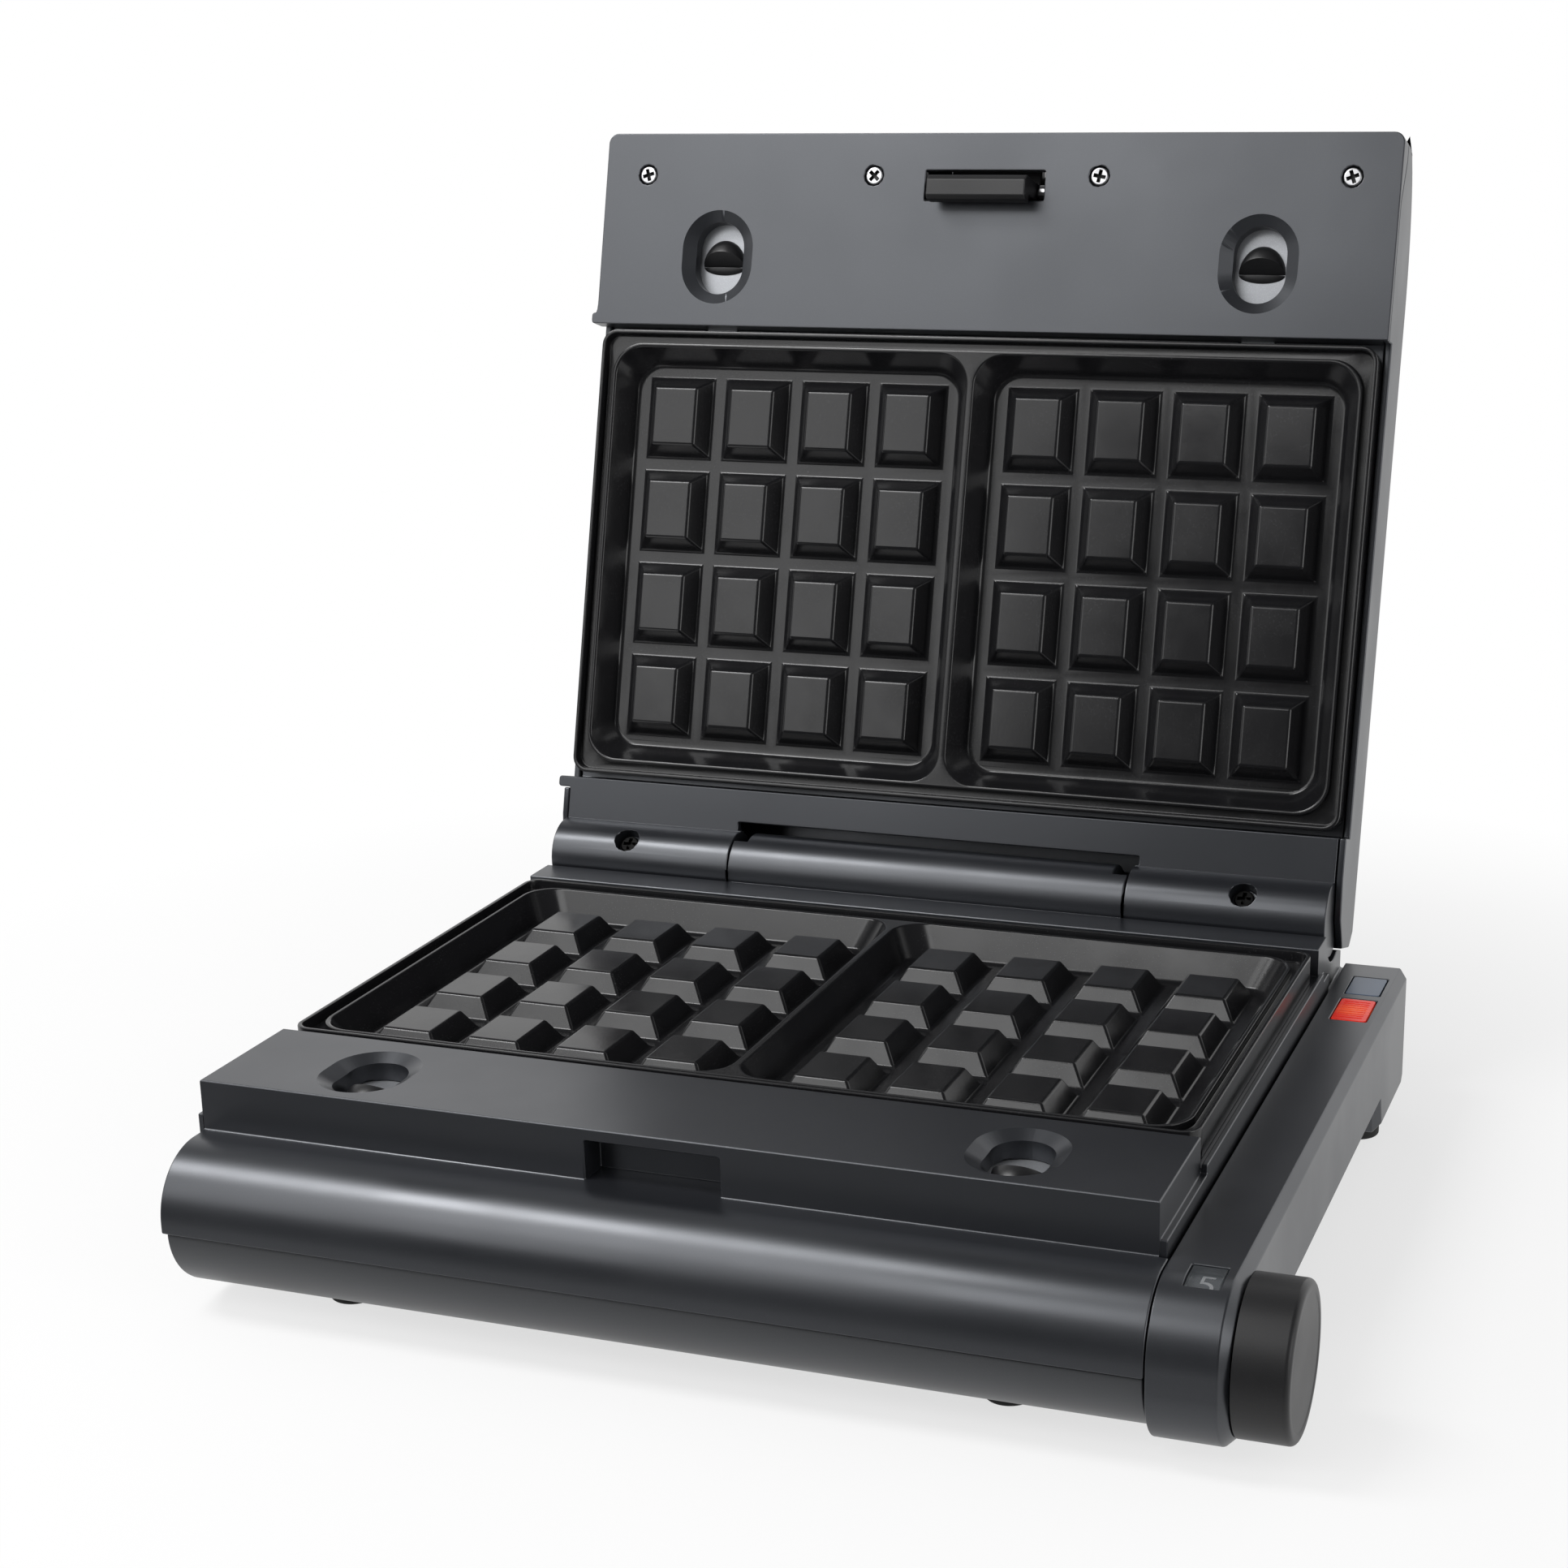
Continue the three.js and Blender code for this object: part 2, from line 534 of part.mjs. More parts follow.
function releaseSlide() {
  const top = -WELL_DEPTH - GAP;
  const bottom = top - SLIDE_THICKNESS;
  const half = WELL_WIDTH / 2 + SLIDE_SIDE - GAP / 2;
  const front = RELEASE_Y - WELL_LENGTH / 2 - 0.2;
  const back = RELEASE_Y + WELL_LENGTH / 2 + SLIDE_TRAVEL + RUNNING_GAP;
  const slab = box(-half, half, front, back, bottom, top);
  const tongue = box(-TONGUE_WIDTH / 2, TONGUE_WIDTH / 2, back - 4, tongueTip, tongueBottom, tongueTop)
    .add(box(-TONGUE_WIDTH / 2, TONGUE_WIDTH / 2, back - 4, back, tongueBottom, bottom + 0.1));
  const ball = new THREE.SphereGeometry(1, 16, 10);
  const thumbFace = RELEASE_Y + THUMB_OFFSET;
  ball.scale(THUMB_HALF_WIDTH, THUMB_LENGTH, THUMB_HEIGHT);
  ball.translate(0, thumbFace, top);
  const keep = prismX(outline([
    [thumbFace, top - 0.5], [thumbFace, top], [thumbFace - THUMB_SLOPE, top + THUMB_HEIGHT],
    [thumbFace - THUMB_SLOPE, top + THUMB_HEIGHT + 1], [thumbFace - 2 * THUMB_LENGTH, top + THUMB_HEIGHT + 1],
    [thumbFace - 2 * THUMB_LENGTH, top - 0.5],
  ]), -THUMB_HALF_WIDTH - 1, THUMB_HALF_WIDTH + 1);
  const thumb = solid(ball).intersect(keep);
  const lugDepth = 2 * SPRING_RADIUS + 0.8;
  const lug = box(-3, 3, RELEASE_Y + 1, RELEASE_Y + 2.6, bottom - lugDepth, bottom + 0.1);
  return union([slab, tongue, thumb, lug]);
}

function releaseSpring() {
  const back = RELEASE_Y + 1 - GAP;
  const front = SPRING_STOP_Y + GAP;
  const height = -WELL_DEPTH - GAP - SLIDE_THICKNESS - SPRING_RADIUS - 0.4;
  const tube = rodY(0, height, SPRING_RADIUS, front, back, 10);
  return tube.subtract(rodY(0, height, SPRING_RADIUS - 0.5, front - 1, back + 1, 10));
}

// Housing of the base, upper half

function cradleOutline() {
  const shape = new THREE.Shape();
  const radius = BARREL_RADIUS + CRADLE_CLEARANCE;
  const lipY = 5.2;
  const lipZ = HINGE_RISE - Math.sqrt(radius * radius - lipY * lipY);
  const slope = Math.tan(THREE.MathUtils.degToRad(OPEN_ANGLE - 90));
  const start = Math.atan2(lipZ - HINGE_RISE, lipY);
  const end = Math.atan2(-HINGE_RISE, -Math.sqrt(radius * radius - HINGE_RISE * HINGE_RISE));
  shape.moveTo(DECK_FRONT, 0);
  shape.lineTo(DECK_FRONT, ROLL_TOP);
  shape.lineTo(rollAxisY, ROLL_TOP);
  shape.absarc(rollAxisY, rollAxisZ, ROLL_RADIUS, Math.PI / 2, Math.PI);
  shape.lineTo(ROLL_FRONT, SPLIT_HEIGHT);
  shape.lineTo(REAR_WALL, SPLIT_HEIGHT);
  shape.lineTo(REAR_WALL, lipZ - (REAR_WALL - lipY) * slope - 0.2);
  shape.lineTo(lipY, lipZ);
  shape.absarc(0, HINGE_RISE, radius, start, end, true);
  return shape;
}

function housingCavity() {
  const radius = ROLL_RADIUS - SHELL_WALL;
  const inside = DECK_HALF_WIDTH - SHELL_WALL - 0.1;
  const shape = new THREE.Shape();
  shape.moveTo(REAR_WALL - SHELL_WALL, SPLIT_HEIGHT - 1);
  shape.lineTo(REAR_WALL - SHELL_WALL, -16);
  shape.lineTo(5, -15);
  shape.lineTo(-4, -14);
  shape.lineTo(-11, -11.5);
  shape.lineTo(-15.5, -SHELL_WALL - 0.2);
  shape.lineTo(REAR_STRIP_FRONT + SHELL_WALL, -SHELL_WALL - 0.2);
  shape.lineTo(REAR_STRIP_FRONT + SHELL_WALL, -ledgeUnderside);
  shape.lineTo(FRONT_STRIP_BACK - SHELL_WALL, -ledgeUnderside);
  shape.lineTo(FRONT_STRIP_BACK - SHELL_WALL, -SHELL_WALL - 0.2);
  shape.lineTo(DECK_FRONT + SHELL_WALL, -SHELL_WALL - 0.2);
  shape.lineTo(DECK_FRONT + SHELL_WALL, ROLL_TOP - SHELL_WALL);
  shape.lineTo(rollAxisY, ROLL_TOP - SHELL_WALL);
  shape.absarc(rollAxisY, rollAxisZ, radius, Math.PI / 2, Math.PI);
  shape.lineTo(ROLL_FRONT + SHELL_WALL, SPLIT_HEIGHT - 1);
  return prismX(shape, -inside, inside);
}

function notchSurround() {
  const wall = SHELL_WALL;
  return box(
    -NOTCH_HALF_WIDTH - wall, NOTCH_HALF_WIDTH + wall,
    DECK_FRONT + 0.5, DECK_FRONT + NOTCH_DEPTH + wall, -DECK_WALL - wall, -1,
  );
}

function baseHousing() {
  const body = prismX(cradleOutline(), -DECK_HALF_WIDTH, DECK_HALF_WIDTH, ROLL_SEGMENTS);
  const rollEnd = new THREE.Shape();
  rollEnd.moveTo(DECK_FRONT, SPLIT_HEIGHT);
  rollEnd.lineTo(DECK_FRONT, ROLL_TOP);
  rollEnd.lineTo(rollAxisY, ROLL_TOP);
  rollEnd.absarc(rollAxisY, rollAxisZ, ROLL_RADIUS, Math.PI / 2, Math.PI);
  rollEnd.lineTo(ROLL_FRONT, SPLIT_HEIGHT);
  const rollTail = prismX(rollEnd, DECK_HALF_WIDTH - 1, ARM_INNER - GAP, ROLL_SEGMENTS);
  const skirtFar = DECK_HALF_WIDTH + SKIRT_THICKNESS;
  const skirts = mirroredX((side) => union([
    sideBox(side, DECK_HALF_WIDTH - 1, skirtFar, DECK_FRONT + 0.4, -16, SPLIT_HEIGHT, SKIRT_TOP),
    sideBox(side, DECK_HALF_WIDTH - 1, skirtFar, FRONT_STRIP_BACK, REAR_STRIP_FRONT, SPLIT_HEIGHT, RAIL_TOP),
    sideBox(side, DECK_HALF_WIDTH - 1, skirtFar, -17, REAR_WALL, SPLIT_HEIGHT, -17),
  ]));
  const holeStart = DECK_HALF_WIDTH - SHELL_WALL - 1.6;
  const shaftHole = rodX(KNOB_AXIS_Y, KNOB_AXIS_Z, SHAFT_RADIUS + 1, holeStart, ARM_INNER + 1);
  const wireHole = rodX(WIRE_HOLE_Y, WIRE_HOLE_Z, WIRE_HOLE_RADIUS, holeStart, ARM_INNER + 1);
  let housing = union([body, rollTail, ...skirts]);
  housing = housing.subtract(housingCavity());
  const bosses = BASE_SCREWS.map(({ x, y, bossTop }) => rodZ(x, y, SCREW_BOSS_RADIUS, SPLIT_HEIGHT, bossTop));
  const centreBarrel = rodX(
    0, HINGE_RISE, BARREL_RADIUS, -CENTRE_BARREL_HALF, CENTRE_BARREL_HALF, BARREL_SIDES,
  );
  const web = box(
    -CENTRE_BARREL_HALF, CENTRE_BARREL_HALF, -BARREL_RADIUS - 1.4, BARREL_RADIUS - 6, -BARREL_RADIUS - 1, -0.6,
  );
  housing = union([
    housing, notchSurround(), releaseWell(-RELEASE_X), releaseWell(RELEASE_X), ...bosses, centreBarrel, web,
  ]);
  const far = DECK_HALF_WIDTH + OVERRUN;
  const channel = PLATE_HALF_WIDTH + PLATE_CHANNEL;
  const cuts = union([
    box(-far, far, FRONT_STRIP_BACK, REAR_STRIP_FRONT, RAIL_TOP, 2),
    box(-channel, channel, FRONT_STRIP_BACK, REAR_STRIP_FRONT, -LEDGE_DEPTH, 2),
    box(
      -openingHalfWidth, openingHalfWidth, FRONT_STRIP_BACK + LEDGE_WIDTH, REAR_STRIP_FRONT - LEDGE_WIDTH,
      -LEDGE_DEPTH - OVERRUN, 2,
    ),
    box(
      -NOTCH_HALF_WIDTH, NOTCH_HALF_WIDTH, DECK_FRONT - 1, DECK_FRONT + NOTCH_DEPTH, -DECK_WALL + 0.2, NOTCH_TOP,
    ),
    releaseHole(-RELEASE_X), releaseHole(RELEASE_X), tongueSlot(-RELEASE_X), tongueSlot(RELEASE_X),
    ...mirroredX((side) => sideBox(
      side, CENTRE_BARREL_HALF - BARREL_NOTCH_WIDTH, CENTRE_BARREL_HALF + 0.1, BARREL_NOTCH_FRONT, BARREL_RADIUS + 1,
      HINGE_RISE + BARREL_NOTCH_FLOOR, HINGE_RISE + BARREL_RADIUS + 1,
    )),
    shaftHole, wireHole,
    rodX(0, HINGE_RISE, PIN_RADIUS + 0.15, PIN_INNER_X - 1, CENTRE_BARREL_HALF + 1),
    rodX(0, HINGE_RISE, PIN_RADIUS + 0.15, -CENTRE_BARREL_HALF - 1, -PIN_INNER_X + 1),
    rodY(GLAND_X, GLAND_Z, GLAND_RADIUS + GAP, REAR_WALL - 4, REAR_WALL + 1, 20),
    ...BASE_SCREWS.map(({ x, y }) => rodZ(x, y, SCREW_SHANK_RADIUS + 0.2, SPLIT_HEIGHT - 1, SPLIT_HEIGHT + 13)),
  ]);
  return housing.subtract(cuts);
}

addPiece(base, 'base_housing', baseHousing(), 'housing');

// Bottom tray of the base, with the lower half of the roll

function trayOutline(offset) {
  const top = SPLIT_HEIGHT - GAP + (offset > 0 ? 2 : 0);
  const front = ROLL_FRONT + TRAY_INSET + offset;
  const cornerY = TRAY_ROLL_LENGTH;
  const shape = new THREE.Shape();
  shape.moveTo(REAR_WALL - offset, top);
  shape.lineTo(front, top);
  shape.lineTo(front, SPLIT_HEIGHT - GAP);
  shape.absellipse(
    front + cornerY - offset, SPLIT_HEIGHT - GAP, cornerY - offset, SPLIT_HEIGHT - GAP - ROLL_BOTTOM - offset,
    Math.PI, 1.5 * Math.PI,
  );
  shape.lineTo(TRAY_ROLL_BACK - 8 - offset / 2, ROLL_BOTTOM + offset);
  shape.lineTo(TRAY_ROLL_BACK - offset / 2, BELLY + offset);
  shape.lineTo(REAR_WALL - 3 - offset / 2, BELLY + offset);
  shape.lineTo(REAR_WALL - offset, BELLY + 3 + offset / 2);
  return shape;
}

function baseTray() {
  const left = -DECK_HALF_WIDTH + TRAY_END_INSET;
  const right = ARM_INNER - 2 * GAP;
  let tray = prismX(trayOutline(0), left, right, ROLL_SEGMENTS);
  tray = tray.subtract(prismX(trayOutline(TRAY_WALL), left + TRAY_WALL, right - TRAY_WALL, ROLL_SEGMENTS));
  const leg = rodZ(REAR_LEFT_FOOT_X, REAR_FOOT_Y, FOOT_RADIUS + 1, ARM_LEG_BOTTOM, BELLY + TRAY_WALL - 0.2, 24);
  const bosses = BASE_SCREWS.map(({ x, y }) => rodZ(x, y, SCREW_BOSS_RADIUS, BELLY + 0.5, SPLIT_HEIGHT - GAP));
  tray = union([tray, leg, ...bosses]);
  const heads = BASE_SCREWS.map(({ x, y }) => rodZ(x, y, SCREW_HOLE_RADIUS, BELLY - 1, BELLY + SCREW_SEAT));
  const shanks = BASE_SCREWS.map(({ x, y }) => rodZ(x, y, SCREW_SHANK_RADIUS + 0.2, BELLY, SPLIT_HEIGHT));
  const pegs = [-FRONT_FOOT_X, FRONT_FOOT_X].map((x) => rodZ(
    x, FRONT_FOOT_Y, FOOT_PEG_RADIUS + GAP, ROLL_BOTTOM - 1, ROLL_BOTTOM + TRAY_WALL + 1.8,
  ));
  const legPeg = rodZ(
    REAR_LEFT_FOOT_X, REAR_FOOT_Y, FOOT_PEG_RADIUS + GAP,
    ARM_LEG_BOTTOM - 1, ARM_LEG_BOTTOM + REAR_FOOT_PEG + 0.6,
  );
  const shaftHole = rodX(KNOB_AXIS_Y, KNOB_AXIS_Z, SHAFT_RADIUS + 1, ARM_INNER - 6, ARM_INNER);
  return tray.subtract(union([...heads, ...shanks, ...pegs, legPeg, shaftHole]));
}

addPiece(base, 'base_tray', baseTray(), 'roll');

// Control arm with the end ring

function ringCorner(inset) {
  return {
    radius: RING_CORNER - inset, upperZ: ARM_TOP - RING_CORNER, lowerZ: ROLL_BOTTOM + RING_CORNER,
    y: ROLL_FRONT + RING_CORNER,
  };
}

function armOutline(inset) {
  const corner = ringCorner(inset);
  const bottom = corner.lowerZ - corner.radius;
  const shape = new THREE.Shape();
  shape.moveTo(ARM_REAR - inset, ARM_TOP - inset);
  shape.lineTo(corner.y, ARM_TOP - inset);
  shape.absarc(corner.y, corner.upperZ, corner.radius, Math.PI / 2, Math.PI);
  shape.lineTo(corner.y - corner.radius, corner.lowerZ);
  shape.absarc(corner.y, corner.lowerZ, corner.radius, Math.PI, 1.5 * Math.PI);
  shape.lineTo(RING_BACK - RING_SLOPE - 0.5 * inset, bottom);
  shape.lineTo(RING_BACK - 0.5 * inset, ARM_BELLY + inset);
  shape.lineTo(ARM_LEG_FRONT + inset, ARM_BELLY + inset);
  shape.lineTo(ARM_LEG_FRONT + 3 + inset, ARM_LEG_BOTTOM + inset);
  shape.lineTo(ARM_REAR - 2 - inset, ARM_LEG_BOTTOM + inset);
  shape.lineTo(ARM_REAR - inset, ARM_LEG_BOTTOM + 2 + inset);
  return shape;
}

function windowBlock(clearance) {
  return box(
    WINDOW_X[0] + clearance, WINDOW_X[1] - clearance, WINDOW_Y[0] + clearance, WINDOW_Y[1] - clearance,
    ARM_TOP - 12.5, ARM_TOP + 3.5,
  );
}

function armBottom(clearance) {
  return box(
    ARM_INNER + ARM_WALL + GAP - clearance, ARM_OUTER - ARM_WALL - ARM_CHAMFER / 2 + clearance,
    RING_BACK + 2 - clearance, ARM_LEG_FRONT - 2 + clearance,
    ARM_BELLY - clearance, ARM_BELLY + ARM_WALL + clearance,
  );
}

function controlArm() {
  const chamferStart = ARM_OUTER - ARM_CHAMFER;
  const sections = [
    { inset: 0, x: chamferStart },
    { inset: ARM_CHAMFER, x: ARM_OUTER },
  ];
  const main = prismX(armOutline(0), ARM_INNER, chamferStart, RING_SEGMENTS);
  const rim = armRim(sections);
  let arm = main.add(rim);
  arm = arm.subtract(prismX(armOutline(ARM_WALL + 0.2), ARM_INNER + ARM_WALL, armInside, RING_SEGMENTS));
  const lampHoles = [READY_LAMP_Y, POWER_LAMP_Y].map(([y0, y1]) => box(
    LAMP_X[0], LAMP_X[1], y0, y1, ARM_TOP - ARM_WALL - 2.4, ARM_TOP + 3.5,
  ));
  return arm.subtract(union([
    windowBlock(0), ...lampHoles,
    armBottom(GAP),
    rodZ(
      REAR_RIGHT_FOOT_X, REAR_FOOT_Y, FOOT_PEG_RADIUS + GAP,
      ARM_LEG_BOTTOM - 1, ARM_LEG_BOTTOM + REAR_FOOT_PEG + 1.6,
    ),
    rodX(KNOB_AXIS_Y, KNOB_AXIS_Z, SHAFT_RADIUS + 0.5, ARM_INNER - 1, ARM_OUTER + 1),
    rodX(WIRE_HOLE_Y, WIRE_HOLE_Z, WIRE_HOLE_RADIUS, ARM_INNER - 1, ARM_INNER + 4),
  ]));
}

// The chamfered band along the outer edge: the outline shrinks over the last few millimetres
function armRim([first, last]) {
  const outer = armOutline(first.inset).getPoints(RING_SEGMENTS);
  const inner = armOutline(last.inset).getPoints(RING_SEGMENTS);
  const count = outer.length;
  const positions = [];
  outer.forEach((p) => positions.push(first.x - 0.5, p.x, p.y));
  outer.forEach((p) => positions.push(first.x, p.x, p.y));
  inner.forEach((p) => positions.push(last.x, p.x, p.y));
  const faces = [];
  const cap = THREE.ShapeUtils.triangulateShape(outer, []);
  cap.forEach(([a, b, c]) => faces.push(c, b, a));
  THREE.ShapeUtils.triangulateShape(inner, []).forEach(([a, b, c]) => {
    faces.push(2 * count + a, 2 * count + b, 2 * count + c);
  });
  for (let ring = 0; ring < 2; ring += 1) {
    for (let i = 0; i < count; i += 1) {
      const j = (i + 1) % count;
      const [a, b] = [ring * count + i, ring * count + j];
      const [c, d] = [a + count, b + count];
      faces.push(a, b, d, a, d, c);
    }
  }
  const geometry = new THREE.BufferGeometry();
  geometry.setAttribute('position', new THREE.Float32BufferAttribute(positions, 3));
  geometry.setIndex(faces);
  if (signedVolume(geometry) < 0) {
    const index = geometry.index.array;
    for (let i = 0; i < index.length; i += 3) [index[i], index[i + 1]] = [index[i + 1], index[i]];
  }
  return solid(geometry);
}

function signedVolume(geometry) {
  const position = geometry.getAttribute('position');
  const [a, b, c] = [new THREE.Vector3(), new THREE.Vector3(), new THREE.Vector3()];
  let volume = 0;
  for (let i = 0; i < geometry.index.count; i += 3) {
    a.fromBufferAttribute(position, geometry.index.getX(i));
    b.fromBufferAttribute(position, geometry.index.getX(i + 1));
    c.fromBufferAttribute(position, geometry.index.getX(i + 2));
    volume += a.dot(b.cross(c)) / 6;
  }
  return volume;
}

addPiece(base, 'control_arm', controlArm(), 'housing');
addPiece(base, 'control_arm_bottom', armBottom(0), 'darkPlastic');

// Number window, lamp lenses and lamp board in the arm

const dialWindow = prismX(armOutline(0.2), WINDOW_X[0] + GAP, WINDOW_X[1] - GAP, RING_SEGMENTS)
  .subtract(prismX(armOutline(ARM_WALL - GAP), WINDOW_X[0] - 1, WINDOW_X[1] + 1, RING_SEGMENTS))
  .intersect(windowBlock(GAP));
addPiece(base, 'dial_window', dialWindow, 'greyLens');

function lampLens([y0, y1]) {
  const shape = roundedRectangle(LAMP_X[0] + GAP, LAMP_X[1] - GAP, y0 + GAP, y1 - GAP, 0.8);
  return prismZ(shape, ARM_TOP - LENS_HEIGHT, ARM_TOP, 3);
}

addPiece(base, 'ready_lens', lampLens(READY_LAMP_Y), 'greyLens');
addPiece(base, 'power_lens', lampLens(POWER_LAMP_Y), 'redLens');
const boardTop = ARM_TOP - LENS_HEIGHT - GAP;
addPiece(base, 'lamp_board', box(
  ARM_INNER + ARM_WALL + GAP, armInside - GAP, POWER_LAMP_Y[0] - BOARD_MARGIN, READY_LAMP_Y[1] + BOARD_MARGIN,
  boardTop - BOARD_THICKNESS, boardTop,
), 'board');

// Knob, shaft and number drum

function chamferedDisc(x0, x1, radius, chamfer, segments = 32) {
  const profile = [
    [0, x0], [radius, x0], [radius, x1 - chamfer], [radius - chamfer, x1], [0, x1],
  ].map(([r, h]) => new THREE.Vector2(r, h));
  const geometry = new THREE.LatheGeometry(profile, segments);
  geometry.rotateZ(-Math.PI / 2);
  geometry.translate(0, KNOB_AXIS_Y, KNOB_AXIS_Z);
  return solid(geometry);
}

const knobStart = ARM_OUTER + RUNNING_GAP;
const knob = chamferedDisc(knobStart, KNOB_END, KNOB_RADIUS, KNOB_CHAMFER)
  .subtract(rodX(KNOB_AXIS_Y, KNOB_AXIS_Z, KNOB_RADIUS - KNOB_WALL, knobStart - 1, KNOB_END - KNOB_WALL, 32))
  .add(rodX(KNOB_AXIS_Y, KNOB_AXIS_Z, KNOB_HUB_RADIUS, knobStart, KNOB_END - 1))
  .subtract(rodX(KNOB_AXIS_Y, KNOB_AXIS_Z, SHAFT_RADIUS + GAP, knobStart - 1, KNOB_END - 3));
addPiece(base, 'control_knob', knob, 'darkPlastic');

const drumStart = ARM_INNER + ARM_WALL + RUNNING_GAP;
const drumEnd = armInside - RUNNING_GAP;
const drum = rodX(KNOB_AXIS_Y, KNOB_AXIS_Z, DRUM_RADIUS, drumStart, drumEnd, 32)
  .subtract(rodX(KNOB_AXIS_Y, KNOB_AXIS_Z, DRUM_RADIUS - DRUM_WALL, drumStart - 1, drumEnd - 1.6, 32))
  .add(rodX(KNOB_AXIS_Y, KNOB_AXIS_Z, DRUM_HUB_RADIUS, drumStart, drumEnd))
  .subtract(rodX(KNOB_AXIS_Y, KNOB_AXIS_Z, SHAFT_RADIUS + GAP, drumStart - 1, drumEnd + 1));
addPiece(base, 'number_drum', drum, 'darkPlastic');

const thermostatFace = DECK_HALF_WIDTH - SHELL_WALL - 0.1 - GAP;
const shaftStart = thermostatFace - THERMOSTAT_DEPTH + 3;
const shaft = rodX(KNOB_AXIS_Y, KNOB_AXIS_Z, SHAFT_RADIUS, shaftStart, KNOB_END - 3 - GAP);
addPiece(base, 'knob_shaft', shaft, 'steel');

const thermostat = box(
  thermostatFace - THERMOSTAT_DEPTH, thermostatFace,
  KNOB_AXIS_Y - THERMOSTAT_HALF, KNOB_AXIS_Y + THERMOSTAT_HALF,
  KNOB_AXIS_Z - THERMOSTAT_DROP, KNOB_AXIS_Z + THERMOSTAT_HALF,
).subtract(rodX(KNOB_AXIS_Y, KNOB_AXIS_Z, SHAFT_RADIUS + 0.2, shaftStart - GAP, thermostatFace + 1));
addPiece(base, 'thermostat', thermostat, 'ceramic');

// Cooking plate. Frame: the rim is at Z = 0, the pockets open upwards, centred on X and Y.

function stud(x, y, floor) {
  const height = POCKET_DEPTH - STUD_TOP_DEPTH + 0.5;
  const [baseX, baseY] = [STUD_PITCH_X - GROOVE_WIDTH_X, STUD_PITCH_Y - GROOVE_WIDTH_Y];
  const geometry = new THREE.BoxGeometry(baseX, baseY, height);
  const position = geometry.getAttribute('position');
  for (let i = 0; i < position.count; i += 1) {
    if (position.getZ(i) > 0) {
      position.setX(i, position.getX(i) * (1 - (2 * STUD_DRAFT) / baseX));
      position.setY(i, position.getY(i) * (1 - (2 * STUD_DRAFT) / baseY));
    }
  }
  geometry.translate(x, y, floor - 0.5 + height / 2);
  return solid(geometry);
}

function plateSolid() {
  const halfWidth = PLATE_HALF_WIDTH;
  const halfLength = PLATE_LENGTH / 2;
  const floor = -POCKET_DEPTH;
  const ring = (inset, z0, z1, corner) => prismZ(
    roundedRectangle(-halfWidth + inset, halfWidth - inset, -halfLength + inset, halfLength - inset, corner),
    z0, z1, 4,
  );
  const skirt = ring(0, -PLATE_SKIRT_DEPTH, 0, PLATE_CORNER);
  const under = prismZ(roundedRectangle(
    -plateBodyHalfWidth, plateBodyHalfWidth, -plateBodyHalfLength, plateBodyHalfLength, PLATE_CORNER,
  ), floor - PLATE_SHEET, -PLATE_SKIRT_DEPTH + 0.5, 4);
  const gutter = ring(LIP_WIDTH, -GUTTER_DEPTH, 1, PLATE_CORNER - 1)
    .subtract(ring(LIP_WIDTH + GUTTER_WIDTH, -GUTTER_DEPTH - 1, 2, POCKET_CORNER + 1));
  const beadTop = ring(LIP_WIDTH, -BEAD_DEPTH, 1, PLATE_CORNER - 1);
  let plate = skirt.add(under).subtract(gutter).subtract(beadTop);
  const [width, length] = [POCKET_WIDTH, POCKET_LENGTH];
  for (const side of [-1, 1]) {
    const centreX = side * (DIVIDER_HALF + width / 2);
    const shape = roundedRectangle(
      centreX - width / 2, centreX + width / 2, -pocketFront, pocketFront, POCKET_CORNER,
    );
    plate = plate.subtract(
      taperedZ(shape, floor, -BEAD_DEPTH, BEAD_DEPTH, [centreX, 0], [width, length], POCKET_DRAFT, 5),
    );
    for (let column = 0; column < STUD_COLUMNS; column += 1) {
      for (let row = 0; row < STUD_ROWS; row += 1) {
        const x = centreX + (column - (STUD_COLUMNS - 1) / 2) * STUD_PITCH_X;
        const y = (row - (STUD_ROWS - 1) / 2) * STUD_PITCH_Y;
        plate = plate.add(stud(x, y, floor));
      }
    }
  }
  const catchHalf = TONGUE_WIDTH / 2 + TONGUE_CLEARANCE;
  for (const x of [-RELEASE_X, RELEASE_X]) {
    plate = plate.subtract(box(
      x - catchHalf, x + catchHalf, -plateBodyHalfLength - 1,
      -plateBodyHalfLength + TONGUE_ENGAGED + TONGUE_CLEARANCE,
      tongueBottom - TONGUE_CLEARANCE, tongueTop + TONGUE_CLEARANCE,
    ));
  }
  return plate;
}

const plateBody = plateSolid();
const lowerPlate = addPiece(base, 'lower_plate', plateBody, 'nonStick');
lowerPlate.position.set(0, plateMiddle, -PLATE_RECESS);

// Heating element and reflector pan, in the plate's frame

